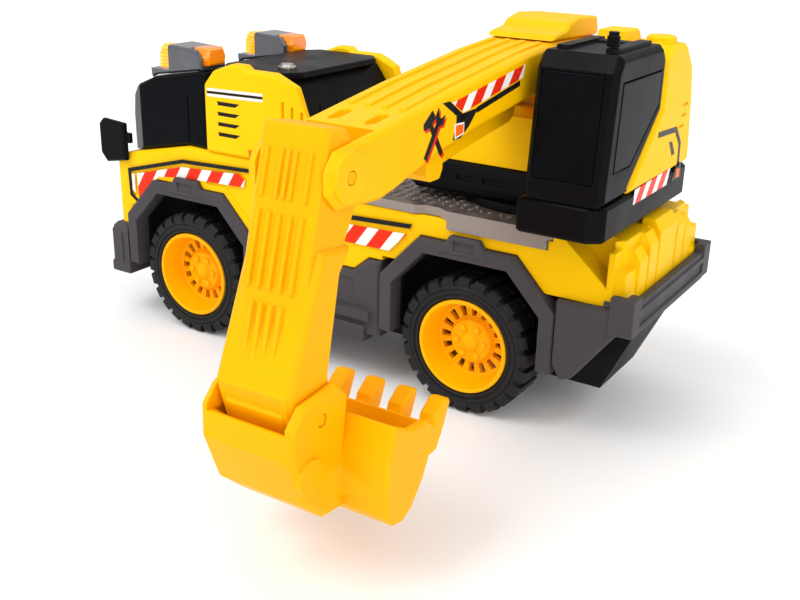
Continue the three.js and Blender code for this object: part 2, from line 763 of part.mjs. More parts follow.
function cabGlazing() {
  const front = glazingFront;
  const profile = [
    [front, noseTop + gap * 2],
    ...glazingTop,
    [panelFront - gap, cabFloor],
    [frontAxleX, sillZ + 0.5 + gap],
  ];
  const hood = prism("y", profile, -bodyHalf + 0.5, bodyHalf - 0.5, 1.5);
  const corners = sides.map(({ side }) => {
    const wedge = [
      [front - 1, bodyHalf - 8],
      [front - 1, bodyHalf + 1],
      [front + 12, bodyHalf + 1],
      [front + 12, bodyHalf - 0.5],
    ].map(([x, y]) => [x, side * y]);
    return prism("z", wedge, noseTop - 8.5, roofZ + 1);
  });
  const creaseX = frontAxleX + 0.5;
  const creases = sides.map(({ side }) =>
    sideBlock(side, creaseX, creaseX + 0.8, bodyHalf - 1.1, bodyHalf + 1, sillZ + 3, roofZ - 12),
  );
  const topLine = glazingTop.map(([x, z]) => [x + 1, z - wall]);
  const floor = noseTop - 8.5;
  const [narrow, wide] = [bodyHalf - 12, bodyHalf - 3];
  const [rib, rear] = [front + 14, panelFront - wall - 3];
  const pockets = [
    ...pocketsUnder([front + 4, rib], [-narrow, narrow], floor, topLine),
    ...pocketsUnder([rib + wall, rear], [-wide, wide], floor, topLine),
  ];
  return cut(hood, corners, creases, pockets);
}

function cabBack() {
  const rear = panelRear - 14;
  const profile = [
    [panelFront, cabFloor],
    [panelFront, roofZ],
    [rear - 6, roofZ],
    [rear, roofZ - 8],
    [rear, cabFloor + 8],
    [rear + 5, cabFloor],
  ];
  const box = prism("y", profile, -panelInner + gap, panelInner - gap, 1);
  const ribs = [-20, -7, 6, 19].map((y) =>
    block(rear - 1.5, rear + 6, y, y + 1, cabFloor + 10, roofZ - 12),
  );
  const across = [-panelInner + gap + wall, panelInner - gap - wall];
  const hollows = pocketGrid([panelFront + wall, rear - 8], across, [cabFloor - 1, roofZ - wall]);
  return cut(box, ribs, hollows);
}

function cabRoof() {
  const plan = [
    [panelFront + 1, -panelInner + 8],
    [panelFront + 7, -panelInner + gap],
    [panelRear - 22, -panelInner + gap],
    [panelRear - 16, -panelInner + 8],
    [panelRear - 16, panelInner - 8],
    [panelRear - 22, panelInner - gap],
    [panelFront + 7, panelInner - gap],
    [panelFront + 1, panelInner - 8],
  ];
  const plate = prism("z", plan, roofZ + gap, roofZ + 3.5, 0.8);
  const socket = rod("z", [buttonX, buttonY], buttonRadius + gap, roofZ + 1.4, roofZ + 9, 20);
  return cut(plate, socket);
}

const buttonRadius = 4.2;
const buttonX = panelRear - 28;
const buttonY = -26;

function roofButton() {
  const cap = rod("z", [buttonX, buttonY], buttonRadius, roofZ + 3.2, roofZ + 5, 20);
  return join(cap, rod("z", [buttonX, buttonY], buttonRadius - 1.2, roofZ + 4.9, roofZ + 6, 20));
}

function mirror(side) {
  const front = noseX - 8;
  const paddle = [
    [front, sillZ - 10],
    [front, sillZ + 5],
    [front + 3, sillZ + 8],
    [front + 18, sillZ + 7],
    [front + 18, sillZ - 12],
    [front + 4, sillZ - 14.5],
  ];
  const [inner, outer] = [bodyHalf + 0.2, bodyHalf + 2.2];
  const arm = sideBlock(side, front + 9, noseX + 12.5, inner, outer, sillZ - 3, sillZ + 2);
  return join(sidePrism(side, paddle, bodyHalf + gap, bodyHalf + 3.6, 0.9), arm);
}

const podInner = 23;
const podOuter = 41;
const podFront = noseX + 25;
const podRear = panelFront - 5;
const podFloor = roofZ + gap;
const podTop = podFloor + 10.5;
const nestRear = podFront + 12; // the beacon stands in front of this
const nestFloor = podFloor - 1.8;
const lensFloor = podFloor + 1.5;

function lightPod(side) {
  const [kneeX, kneeZ] = glazingTop[3];
  const profile = [
    [podFront, heightAt(glazingTop, podFront) + 2 * gap],
    [podFront - 0.6, nestFloor + 1],
    [podFront + 9, podTop],
    [podRear - 3, podTop - 1],
    [podRear, podTop - 5],
    [podRear, podFloor],
    [kneeX, kneeZ + 2 * gap],
  ];
  const hood = sidePrism(side, profile, podInner, podOuter, 1);
  const top = podTop + 1;
  const nest = sideBlock(side, podFront - 2, nestRear, podInner - 1, podOuter + 1, nestFloor, top);
  const [inner, outer] = [podInner + 2 - gap, podOuter - 2 + gap];
  const lensSeat = sideBlock(side, podRear - 8 - gap, podRear + 1, inner, outer, lensFloor, top);
  return cut(hood, nest, lensSeat);
}

function beacon(side) {
  const at = [podFront + 5.6, side * (podInner + podOuter) * 0.5];
  const base = rod("z", at, 5.8, nestFloor + gap, podTop - 5, 20);
  const shoulder = rod("z", at, 5, podTop - 5.2, podTop - 2.4, 20);
  return join(base, shoulder, rod("z", at, 3.6, podTop - 2.6, podTop - 1, 20));
}

function podLens(side) {
  const low = lensFloor + gap;
  const hexagon = [
    [podInner + 4, podTop - 0.4],
    [podInner + 2, low + 3.5],
    [podInner + 3.5, low],
    [podOuter - 3.5, low],
    [podOuter - 2, low + 3.5],
    [podOuter - 4, podTop - 0.4],
  ].map(([y, z]) => [side * y, z]);
  return prism("x", hexagon, podRear - 8, podRear + 2.5, 1);
}

function grillePiece() {
  const half = grilleHalf - gap;
  const frame = block(noseX + 0.6, noseX + 3 - gap, -half, half, grilleZ + gap, grilleZ + 18 - gap);
  const bars = [3, 7, 11, 15].map((rise) => {
    const z = grilleZ + rise;
    return block(noseX - 0.8, noseX + 1, -grilleHalf + 1, grilleHalf - 1, z - 0.9, z + 0.9);
  });
  return join(frame, bars);
}

function headlamp(side) {
  const outline = [
    [0, 2.5],
    [0, 15.5],
    [10, 15.5],
    [12, 12],
    [12, 2.5],
  ].map(([y, z]) => [side * (lampInner + y), grilleZ + z]);
  return prism("x", outline, noseX - 0.8, noseX + 3 - gap, 0.5);
}

// ---- Turret ----------------------------------------------------------------------------------------
const turretLeft = turretX - turretHalf;
const turretRight = turretX + turretHalf;
const recessY = -32; // front of the base beside the operator's cab
const turretRear = 37;
const cabLeft = turretRight - cabWidth - 0.5;
const cabRight = turretRight - 0.5;
const cabRoofZ = shellFloor + cabHeight;
const frontY = -cabReach;

function turretBase() {
  const plan = [
    [turretLeft, recessY + 7],
    [turretLeft + 7, recessY],
    [cabLeft - 2, recessY],
    [cabLeft - 2, frontY - 0.5],
    [turretRight - 6, frontY - 0.5],
    [turretRight, frontY + 4],
    [turretRight, turretRear - 9],
    [turretRight - 11, turretRear],
    [turretLeft + 11, turretRear],
    [turretLeft, turretRear - 9],
  ];
  const slab = prism("z", plan, turretFloor, baseTop, 1.2);
  const spindle = rod("z", [turretX, 0], spindleRadius, spindleFoot, turretFloor + 1, 32);
  const screwHole = rod("z", [turretX, 0], screwShank + gap, spindleFoot - 1, spindleFoot + 14, 12);
  const vents = [0, 1, 2].map((i) => {
    const x = turretLeft + 14 + 13 * i;
    return block(x, x + 10, recessY - 1, recessY + 1, baseTop - 8, baseTop - 5);
  });
  const deep = [turretFloor + wall, baseTop + 1];
  const column = rod("z", [turretX, 0], spindleRadius + wall, 0, baseTop + 2, 24);
  const pockets = [
    ...pocketGrid([turretLeft + 9, cabLeft - 4], [recessY + 5, turretRear - 8], deep),
    ...pocketGrid([cabLeft + wall, turretRight - 4], [frontY + 4, turretRear - 11], deep),
  ].map((pocket) => cut(pocket, column));
  return cut(join(slab, spindle), screwHole, vents, pockets);
}

// The seat for the pieces above is the flat top of the base, so their walls start at shellFloor.
function turretCore() {
  const left = turretLeft + 5;
  const right = cabLeft - gap;
  const profile = [
    [recessY + 2, shellFloor],
    [recessY + 2, shellFloor + 7],
    [recessY + 7, shellFloor + 21],
    [recessY + 14, shellFloor + 25],
    [turretRear - 12, shellFloor + 25],
    [turretRear - 4, shellFloor + 14],
    [turretRear - 4, shellFloor],
  ];
  const body = prism("x", profile, left, right, 1.5);
  const [py, pz] = boomPivot;
  const troughRadius = 17;
  const ear = [
    [py - 15, shellFloor + 22],
    [py - 9, pz + 6],
    [py - 4, pz + 10],
    [py + 4, pz + 10],
    [py + 9, pz + 6],
    [py + 16, shellFloor + 22],
  ];
  const ears = [
    prism("x", ear, armLeft - 1 - 4.5, armLeft - 1, 0.8),
    prism("x", ear, armRight + 1, armRight + 1 + 3, 0.8),
  ];
  const pinHole = rod("x", boomPivot, pinRadius + gap, left, right + 1, 16);
  // The trough that the boom's foot turns in.
  const trough = rod("x", boomPivot, troughRadius, armLeft - 1, armRight + 1, 24);
  const slope = prism(
    "x",
    [
      [recessY - 5, pz - troughRadius],
      [py, pz - troughRadius],
      [py, pz + 20],
      [recessY - 5, pz + 20],
    ],
    armLeft - 1,
    armRight + 1,
  );
  const deep = [shellFloor - 1, pz - troughRadius - wall];
  const pockets = pocketGrid([left + wall, right - wall], [recessY + 10, turretRear - 9], deep);
  return cut(join(body, ears), trough, slope, pinHole, pockets);
}

const diagonal = [
  [frontY + 26, shellFloor + 3],
  [-11, shellFloor + 28],
];

function operatorCab() {
  const [[lowY, lowZ], [highY, highZ]] = diagonal;
  const profile = [
    [frontY, shellFloor],
    [frontY, shellFloor + 7],
    [frontY + 4, cabRoofZ - 6],
    [frontY + 8, cabRoofZ],
    [highY - 4, cabRoofZ],
    [highY, cabRoofZ - 5],
    [highY, highZ],
    [lowY, lowZ],
    [lowY, shellFloor],
  ];
  const shell = prism("x", profile, cabLeft, cabRight, 2);
  const roofPads = [
    block(cabLeft + 4, cabLeft + 9, frontY + 12, highY - 8, cabRoofZ - 1, cabRoofZ + 1.4),
    block(cabRight - 9, cabRight - 4, frontY + 12, highY - 8, cabRoofZ - 1, cabRoofZ + 1.4),
    block(cabLeft + 8, cabRight - 8, highY - 16, highY - 10, cabRoofZ - 1, cabRoofZ + 0.8),
  ];
  const rib = frontY + 25;
  const hollows = [
    [
      [frontY + 4, shellFloor - 1],
      [frontY + 4, shellFloor + 8],
      [frontY + 8, cabRoofZ - 5],
      [rib, cabRoofZ - 5],
      [rib, shellFloor - 1],
    ],
    [
      [rib + wall, lowZ + 8],
      [rib + wall, cabRoofZ - 5],
      [highY - 5, cabRoofZ - 5],
      [highY - 5, highZ + 4],
    ],
  ].map((outline) => prism("x", outline, cabLeft + 4, cabRight - 4));
  const hatch = block(cabLeft + 9, cabRight - 9, rib - 1, rib + wall + 1, lowZ + 12, cabRoofZ - 8);
  return cut(join(shell, roofPads), frontGlassSeat(), sideGlassSeat(), hollows, hatch);
}

// The front window follows the cab's leaning front face.
const frontLean = 4 / (cabHeight - 13);
const glassLow = shellFloor + 8;
const glassHigh = cabRoofZ - 7;
const glassDeep = 1.6;

function frontGlassShape(margin, deep, proud) {
  const at = (z) => frontY + (z - shellFloor - 7) * frontLean;
  const low = glassLow - margin;
  const high = glassHigh + margin;
  return [
    [at(low) - proud, low],
    [at(low) + deep, low],
    [at(high) + deep, high],
    [at(high) - proud, high],
  ];
}

function frontGlassSeat() {
  return prism("x", frontGlassShape(gap, glassDeep, 1), cabLeft + 3 - gap, cabRight - 5 + gap);
}

function frontGlass() {
  return prism("x", frontGlassShape(0, glassDeep - gap, 0.1), cabLeft + 3, cabRight - 5);
}

function sideGlassShape(margin) {
  const [[, lowZ], [highY, highZ]] = diagonal;
  return [
    [frontY + 8 - margin, lowZ + 9 - margin],
    [frontY + 10 - margin, cabRoofZ - 10 + margin],
    [highY - 5 + margin, cabRoofZ - 10 + margin],
    [highY - 5 + margin, highZ + 3 - margin],
    [frontY + 24 + margin, lowZ + 9 - margin],
  ];
}

function sideGlassSeat() {
  return prism("x", sideGlassShape(gap), cabRight - glassDeep, cabRight + 1);
}

function sideGlass() {
  return prism("x", sideGlassShape(0), cabRight - glassDeep + gap, cabRight + 0.1);
}

function housing() {
  const [[lowY, lowZ], [highY, highZ]] = diagonal;
  const housingRear = turretRear - 7;
  const profile = [
    [lowY + gap, shellFloor],
    [lowY + gap, lowZ - 0.2],
    [highY + gap, highZ - 0.2],
    [highY + gap, cabRoofZ - 6],
    [highY + 6, cabRoofZ - 2],
    [housingRear - 18, cabRoofZ - 2],
    [housingRear - 8, cabRoofZ - 12],
    [housingRear - 4, cabRoofZ - 26],
    [housingRear, shellFloor + 5],
    [housingRear, shellFloor],
  ];
  const shell = prism("x", profile, cabLeft, turretRight, 1.6);
  const knob = prism(
    "z",
    circle(turretRight - 9, 5, 6.2, 8, Math.PI / 8),
    cabRoofZ - 3,
    cabRoofZ + 1,
    1,
  );
  const shoulder = prism(
    "x",
    [
      [-8, cabRoofZ - 3],
      [-6, cabRoofZ + 2.5],
      [8, cabRoofZ + 2.5],
      [12, cabRoofZ - 3],
    ],
    cabLeft + 0.4,
    cabLeft + 13,
    0.8,
  );
  const vents = [0, 1, 2].map((i) => {
    const [y, z] = [housingRear - 18 + 1.2 * i, shellFloor + 17.2 + 4.4 * i];
    return block(turretRight - 1, turretRight + 1, y, y + 6, z, z + 1.2);
  });
  const rearRibs = [6, 14, 22].map((x) => {
    const [floor, top] = [shellFloor + 8.7, cabRoofZ - 18.3];
    return block(cabLeft + x, cabLeft + x + 4, housingRear - 1, housingRear + 6, floor, top);
  });
  const hollows = [
    [
      [lowY + 12, shellFloor - 1],
      [highY + 4, highZ - 6],
      [highY + 4, shellFloor - 1],
    ],
    [
      [highY + 4 + wall, shellFloor - 1],
      [highY + 4 + wall, cabRoofZ - 9],
      [housingRear - 21, cabRoofZ - 7],
      [housingRear - 13, cabRoofZ - 16],
      [housingRear - 9, cabRoofZ - 28],
      [housingRear - 9, shellFloor - 1],
    ],
  ].map((outline) => prism("x", outline, cabLeft + wall, turretRight - 4));
  return cut(join(shell, knob, shoulder), vents, rearRibs, hollows);
}

function counterweight() {
  const profile = [
    [turretRear + gap, turretFloor + 2],
    [turretRear + 8, turretFloor + 4],
    [turretRear + 8, baseTop + 2],
    [turretRear + 5, baseTop + 5],
    [turretRear - 3 + gap, baseTop + 5],
    [turretRear - 3 + gap, shellFloor],
    [turretRear + gap, shellFloor],
  ];
  return prism("x", profile, turretLeft + 12, turretRight - 12);
}

function exhaust() {
  const foot = [turretRight - 8.5, frontY + 16.5];
  const stack = rod("z", foot, 2.4, cabRoofZ + 1.4 + gap, cabRoofZ + 5.5, 12);
  return join(stack, rod("z", foot, 1.9, cabRoofZ + 5.3, cabRoofZ + 7, 12));
}

// ---- Arm -------------------------------------------------------------------------------------------
const forkCheek = (armWidth - stickWidth) / 2 - gap;
const forkRoot = stickPivot[0] + 17; // the fork's floor behind the stick's head
const bossRadius = 9.5;
const flareHalf = stickWidth / 2 + 2.3; // half of the stick below its head
const bracketHalf = flareHalf + 3.5; // half of the bracket behind the bucket

const boomTop = around(boomPivot, [
  [13, 5],
  [7, 14],
  [-34, 15],
  [-62, 13],
  [-114, 7],
  [-156, 1],
]);

const boomBottom = [
  ...around(stickPivot, [[26, -bossRadius]]),
  ...around(boomPivot, [
    [-124, -13.5],
    [-98, -9],
    [-52, -3.5],
    [-26, -4],
  ]),
];

const boomTip = around(stickPivot, [
  [4, bossRadius],
  [-5, bossRadius - 1],
  [-bossRadius, 3],
  [-bossRadius, -4],
  [-4, -bossRadius],
  [18, -bossRadius - 1.5],
]);

const boomFoot = around(boomPivot, [
  [-12, -10],
  [-4, -14],
  [7, -13],
  [13, -6],
]);

function boom() {
  const outline = [...boomTop, ...boomTip, ...boomBottom, ...boomFoot];
  const beam = prism("x", outline, armLeft, armRight, 1.5);
  const [sy, sz] = stickPivot;
  const [inLeft, inRight] = [armLeft + forkCheek, armRight - forkCheek];
  const slot = block(inLeft, inRight, sy - 30, forkRoot, sz - 30, sz + 30);
  const bosses = [
    rod("x", stickPivot, bossRadius - 1.5, armLeft - 1.2, inLeft, 24),
    rod("x", stickPivot, bossRadius - 1.5, inRight, armRight + 1.2, 24),
  ];
  const holes = [boomPivot, stickPivot].map((at) =>
    rod("x", at, pinRadius + gap, armLeft - 5, armRight + 5, 16),
  );
  const ovals = [-7, 7].map((x) => {
    const oval = around([turretX + x, sy + 26.2], [
      [-2, -3.5],
      [0, -5.5],
      [2, -3.5],
      [2, 3.5],
      [0, 5.5],
      [-2, 3.5],
    ]);
    return prism("z", oval, sz + 8.5, sz + 23);
  });
  // Long ribs along the top, cut short of the cap and of the tip.
  const ribSide = around(boomPivot, [
    [-138, 1],
    [-138, 4.4],
    [-114, 8],
    [-62, 14],
    [-40, 15.6],
    [-40, 11],
  ]);
  const ribs = [-10, -3.2, 3.2, 10].map((x) =>
    prism("x", ribSide, turretX + x - 1.1, turretX + x + 1.1),
  );
  const topLine = boomTop.toReversed();
  const pockets = spans(boomPivotY - 138, boomPivotY - 28).map(([ya, yb]) => {
    const cell = [
      [ya, heightAt(boomBottom, ya) - 5],
      [yb, heightAt(boomBottom, yb) - 5],
      [yb, heightAt(topLine, yb) - wall],
      [ya, heightAt(topLine, ya) - wall],
    ];
    return prism("x", cell, armLeft + wall, armRight - wall);
  });
  return cut(join(cut(beam, slot, pockets), bosses, ribs), holes, ovals);
}

// The cap over the boom's upper end, a gap above its top line.
function boomCap() {
  const [, [rearY, rearZ], [frontY, frontZ]] = boomTop;
  const profile = [
    [frontY - 3, frontZ + gap + 0.3],
    [frontY, frontZ + 2.6],
    [frontY + 10, frontZ + 3.8],
    [frontY + 13, frontZ + 6.2],
    [frontY + 22, frontZ + 8],
    [rearY - 1, frontZ + 7],
    [rearY + 1, frontZ + 1],
    [rearY, rearZ + gap],
    [frontY, frontZ + gap],
  ];
  return prism("x", profile, armLeft + 0.5, armRight - 0.5, 0.8);
}

// The moulded ram under the boom: a fat barrel, a thinner rod and the lug that holds it.
function boomRam() {
  const lug = around(boomPivot, [
    [-116, -12.6 - gap],
    [-116, -23],
    [-113, -25.5],
    [-107, -25.5],
    [-105, -22],
    [-105, -10.8 - gap],
  ]);
  const barrel = around(boomPivot, [
    [-108, -23],
    [-108, -17],
    [-94, -14],
    [-94, -10],
    [-54, -4.6],
    [-46, -4.6],
    [-46, -12],
    [-50, -15],
    [-92, -20],
  ]);
  return join(
    prism("x", lug, turretX - 7, turretX + 7, 0.6),
    prism("x", barrel, turretX - 5, turretX + 5, 1.2),
  );
}

function pin(at, half) {
  return rod("x", at, pinRadius, turretX - half, turretX + half, 12);
}

function stick() {
  const [sy, sz] = stickPivot;
  const [by, bz] = bucketPivot;
  // The foot turns inside the bracket's round seat.
  const foot = around(bucketPivot, [
    [9, -4],
    [1, -10],
    [-7, -8],
  ]);
  const head = [
    [sy - 6.3, sz + 15],
    [sy + 4, sz + 13.5],
    [sy + 11, sz + 5],
    [sy + 11, sz - 7],
    [by + 17, sz - 27],
    [by + 9, bz + 8],
    ...foot,
    [by - 11, bz + 3],
  ];
  const narrow = prism("x", head, turretX - stickWidth / 2, turretX + stickWidth / 2, 1.5);
  const wide = [
    [sy - 12.2, sz - 20],
    [sy + 3.5, sz - 22],
    [by + 15, sz - 29],
    [by + 9, bz + 12],
    ...foot,
    [by - 10.7, bz + 4.5],
    [by - 12.2, bz + 10],
  ];
  const flare = prism("x", wide, turretX - flareHalf, turretX + flareHalf, 1.8);
  // Rib panels down the outer face, set just proud of it: top, bottom and places across.
  const faceAt = (z) => sy - 6.3 + ((z - sz - 15) * (by - 12 - sy + 6.3)) / (bz + 4 - sz - 15);
  const ribs = [
    [sz + 8, sz - 6, [-8, -2.6, 0, 2.6, 8]],
    [sz - 10, sz - 32, [-8, -4, 0, 4, 8]],
    [sz - 36, bz + 14, [-5.4, -1.8, 1.8, 5.4]],
  ].flatMap(([high, low, places]) =>
    places.map((x) => {
      const side = [
        [faceAt(high) + 1.5, high],
        [faceAt(high) - 0.8, high],
        [faceAt(low) - 0.8, low],
        [faceAt(low) + 1.5, low],
      ];
      return prism("x", side, turretX + x - 0.7, turretX + x + 0.7);
    }),
  );
  const holes = [stickPivot, bucketPivot].map((at) =>
    rod("x", at, pinRadius + gap, turretX - 30, turretX + 30, 16),
  );
  const hollows = spans(bz + 20, sz - 24).map(([za, zb]) => {
    const cell = [
      [faceAt(za) + wall + 1.5, za],
      [sy + 20, za],
      [sy + 20, zb],
      [faceAt(zb) + wall + 1.5, zb],
    ];
    return prism("x", cell, turretX - stickWidth / 2 + wall, turretX + stickWidth / 2 - wall);
  });
  return cut(join(narrow, flare, ribs), holes, hollows);
}

// The bucket's shell from its back over the bottom to the lip.
const bucketCurve = around(bucketPivot, [
  [14.5, -3.5],
  [11, -14],
  [9.6, -26],
  [10.6, -34.5],
  [14.5, -39],
  [20, -40.2],
  [25.5, -37.5],
  [32, -30],
  [36.5, -21.5],
  [39.5, -14],
]);

function bucket() {
  const [by, bz] = bucketPivot;
  const left = turretX - bucketWidth / 2;
  const right = turretX + bucketWidth / 2;
  const rimLine = around(bucketPivot, [
    [34, -9.5],
    [24, -8.5],
  ]);
  const body = prism("x", [...bucketCurve, ...rimLine], left, right, 0.8);
  const middle = [by + 25, bz - 6];
  const inset = bucketCurve.map(([y, z]) => {
    const dy = middle[0] - y;
    const dz = middle[1] - z;
    const reach = bucketWall / Math.hypot(dy, dz);
    return [y + dy * reach, z + dz * reach];
  });
  const inside = [[by + 17, bz + 14], ...inset, [by + 46, bz - 4], [by + 46, bz + 14]];
  const hollow = prism("x", inside, left + bucketWall, right - bucketWall);
  const pitch = (bucketWidth - toothWidth) / (toothCount - 1);
  const tooth = around(bucketPivot, [
    [36, -23.5],
    [40.2, -23],
    [45, -15],
    [48.5, -7.5],
    [45, -6],
    [39, -10],
    [35.5, -19],
  ]);
  const teeth = Array.from({ length: toothCount }, (_, i) => {
    const x = left + i * pitch;
    return prism("x", tooth, x, x + toothWidth, 0.8);
  });
  const bracket = around(bucketPivot, [
    [14, 4],
    [8, 9.5],
    [-9, 8],
    [-15, 2],
    [-15.3, -9],
    [-9, -26],
    [1, -35],
    [11.5, -36],
    [12, -12],
  ]);
  const cheeks = prism("x", bracket, turretX - bracketHalf, turretX + bracketHalf, 1.5);
  const room = flareHalf + 2 * gap;
  const swing = rod("x", bucketPivot, 13.2, turretX - room, turretX + room, 24);
  // Where the stick's foot stands at rest, and where its back swings.
  const footRoom = around(bucketPivot, [
    [-30, -0.1],
    [4, -0.1],
    [10, -8],
    [18, -8],
    [18, 30],
    [-30, 30],
  ]);
  const above = prism("x", footRoom, turretX - room, turretX + room);
  const pinHole = rod("x", bucketPivot, pinRadius + gap, turretX - 30, turretX + 30, 16);
  const [face, knuckleAt] = [turretX + bracketHalf, [by - 7, bz - 16]];
  const knuckle = rod("x", knuckleAt, 6, face - 1, face + 1.4, 16);
  const shell = join(cut(body, hollow), teeth);
  return cut(join(shell, cut(join(cheeks, knuckle), swing, above)), pinHole);
}

// ---- The toy ---------------------------------------------------------------------------------------
wheelSet("front", frontAxleX);
wheelSet("rear", 0);

piece("chassis_base", chassisBase(), black);
const doorPlate = block(doorFront, doorRear, -doorHalf, doorHalf, spineFloor, spineFloor + doorThick);
const doorHole = rod("z", [doorScrewX, 0], boltShank + gap, 0, bayTop, 12);
piece("battery_door", cut(doorPlate, doorHole), black);
const doorScrewTop = spineFloor - gap; // underside of the door, which the head meets
const doorScrew = bolt(doorScrewX, boltHead, doorScrewTop - 1.6, doorScrewTop, bayTop - 9);
piece("door_screw", doorScrew, steel);
piece("cab_body", cabBody(), yellow);
piece("rear_body", rearBody(), yellow);
piece("deck_plate", deckPiece(), plateGrey);
piece("front_bumper", frontBumper(), grey);
piece("rear_bumper", rearBumper(), grey);
piece("front_grille", grillePiece(), black);
piece("cab_glazing", cabGlazing(), glass);
piece("cab_back", cabBack(), black);
piece("cab_roof", cabRoof(), black);
piece("roof_button", roofButton(), silver);
for (const { name, side } of sides) {
  piece(`front_${name}_arch`, wheelArch(side, frontAxleX), grey);
  piece(`rear_${name}_arch`, wheelArch(side, 0), grey);
  piece(`${name}_side_box`, sideBox(side), grey);
  piece(`cab_${name}_panel`, sidePanel(side), yellow);
  piece(`${name}_mirror`, mirror(side), black);
  piece(`${name}_light_pod`, lightPod(side), smoke);
  piece(`${name}_beacon`, beacon(side), amber);
  piece(`${name}_pod_lens`, podLens(side), amber);
  piece(`${name}_headlamp`, headlamp(side), clear);
}

const ringOuter = 34;
const swingRing = cut(
  rod("z", [turretX, 0], ringOuter, deckTop + gap, turretFloor - gap, 32),
  rod("z", [turretX, 0], ringOuter - 8, deckTop, turretFloor, 32),
);
piece("swing_ring", swingRing, black);
piece("turret_base", turretBase(), black);
const washer = cut(
  rod("z", [turretX, 0], washerRadius, spindleFoot - gap - washerThick, spindleFoot - gap, 24),
  rod("z", [turretX, 0], screwShank + gap, 0, deckTop, 12),
);
piece("spindle_washer", washer, steel);
const screwTop = spindleFoot - washerThick - 2 * gap; // underside of the washer, which the head meets
piece("spindle_screw", bolt(turretX, 3.5, screwTop - 2, screwTop, spindleFoot + 12), steel);
piece("turret_core", turretCore(), yellow);
piece("operator_cab", operatorCab(), black);
piece("front_window", frontGlass(), glass);
piece("side_window", sideGlass(), glass);
piece("turret_housing", housing(), yellow);
piece("counterweight", counterweight(), black);
piece("exhaust_stack", exhaust(), black);

piece("boom", boom(), yellow);
piece("boom_cap", boomCap(), yellow);
piece("boom_ram", boomRam(), yellow);
piece("boom_pin", pin(boomPivot, armWidth / 2 + 4), amberYellow);
piece("stick", stick(), amberYellow);
piece("stick_pin", pin(stickPivot, armWidth / 2 + 1), amberYellow);
piece("bucket", bucket(), amberYellow);
piece("bucket_pin", pin(bucketPivot, bracketHalf - 0.6), amberYellow);

const box = new THREE.Box3().setFromObject(toy);
const centre = box.getCenter(new THREE.Vector3());
toy.position.set(-centre.x, -centre.y, -box.min.z);

export default root;
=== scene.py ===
"""The looks of the toy excavator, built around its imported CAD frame."""

import json
import math

import bmesh
import bpy
from mathutils import Matrix, Vector

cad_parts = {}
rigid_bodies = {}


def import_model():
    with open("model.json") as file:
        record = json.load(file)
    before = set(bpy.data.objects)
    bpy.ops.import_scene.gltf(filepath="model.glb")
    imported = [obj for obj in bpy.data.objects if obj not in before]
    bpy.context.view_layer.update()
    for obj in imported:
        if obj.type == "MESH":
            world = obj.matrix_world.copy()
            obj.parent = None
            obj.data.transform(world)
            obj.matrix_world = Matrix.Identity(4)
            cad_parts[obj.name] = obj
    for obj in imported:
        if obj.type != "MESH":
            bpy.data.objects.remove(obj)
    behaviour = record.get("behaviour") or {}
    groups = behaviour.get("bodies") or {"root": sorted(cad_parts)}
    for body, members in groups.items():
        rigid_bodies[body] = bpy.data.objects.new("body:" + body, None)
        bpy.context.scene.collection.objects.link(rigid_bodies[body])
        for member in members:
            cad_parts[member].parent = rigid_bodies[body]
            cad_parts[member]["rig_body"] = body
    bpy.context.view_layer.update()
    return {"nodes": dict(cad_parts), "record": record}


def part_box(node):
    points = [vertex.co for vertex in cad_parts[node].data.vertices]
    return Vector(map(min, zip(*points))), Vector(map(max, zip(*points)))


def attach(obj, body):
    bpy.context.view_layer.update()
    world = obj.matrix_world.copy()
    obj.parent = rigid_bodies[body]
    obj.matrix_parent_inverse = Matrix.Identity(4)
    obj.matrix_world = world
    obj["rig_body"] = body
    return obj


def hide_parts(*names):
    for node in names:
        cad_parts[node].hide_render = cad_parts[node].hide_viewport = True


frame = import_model()

MM = 0.001
SIDES = (("left", -1), ("right", 1))
AXLES = ("front", "rear")


def middle(node):
    low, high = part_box(node)
    return (low + high) / 2


# Lengths below are in millimetres from the rear axle, the truck's middle plane and the ground.
origin = Vector((middle("rear_axle").x, middle("rear_axle").y, 0))
FRONT_AXLE = (middle("front_axle").x - origin.x) / MM
AXLE_Z = middle("rear_axle").z / MM
TURRET_X = (middle("spindle_screw").x - origin.x) / MM


def at(x, y, z):
    return Vector((origin.x + x * MM, origin.y + y * MM, z * MM))


# ---- Camera, floor and light ---------------------------------------------------------------------
SENSOR = 36
VIEW_FROM = (197.95, -411.87, 214.04)
VIEW_YAW = math.radians(32.11)
VIEW_DOWN = math.radians(21.21)
VIEW_ROLL = math.radians(1.39)


def set_camera():
    lens = bpy.data.cameras.new("camera")
    lens.sensor_width = SENSOR
    lens.lens = 46.98
    lens.clip_start = 0.01
    camera = bpy.data.objects.new("camera", lens)
    bpy.context.scene.collection.objects.link(camera)
    level = math.cos(VIEW_DOWN)
    ahead = Vector((-math.sin(VIEW_YAW) * level, math.cos(VIEW_YAW) * level, -math.sin(VIEW_DOWN)))
    flat = Vector((math.cos(VIEW_YAW), math.sin(VIEW_YAW), 0))
    right = flat * math.cos(VIEW_ROLL) + flat.cross(ahead) * math.sin(VIEW_ROLL)
    axes = Matrix((right, right.cross(ahead), -ahead)).transposed()
    camera.matrix_world = Matrix.Translation(at(*VIEW_FROM)) @ axes.to_4x4()
    bpy.context.scene.camera = camera


def add(tree, kind, inputs=None, **settings):
    """Adds a node with its settings; each input is a value or the socket that feeds it."""
    made = tree.nodes.new(kind)
    for name, value in settings.items():
        setattr(made, name, value)
    for key, value in (inputs or {}).items():
        if isinstance(value, bpy.types.NodeSocket):
            tree.links.new(value, made.inputs[key])
        else:
            made.inputs[key].default_value = value
    return made


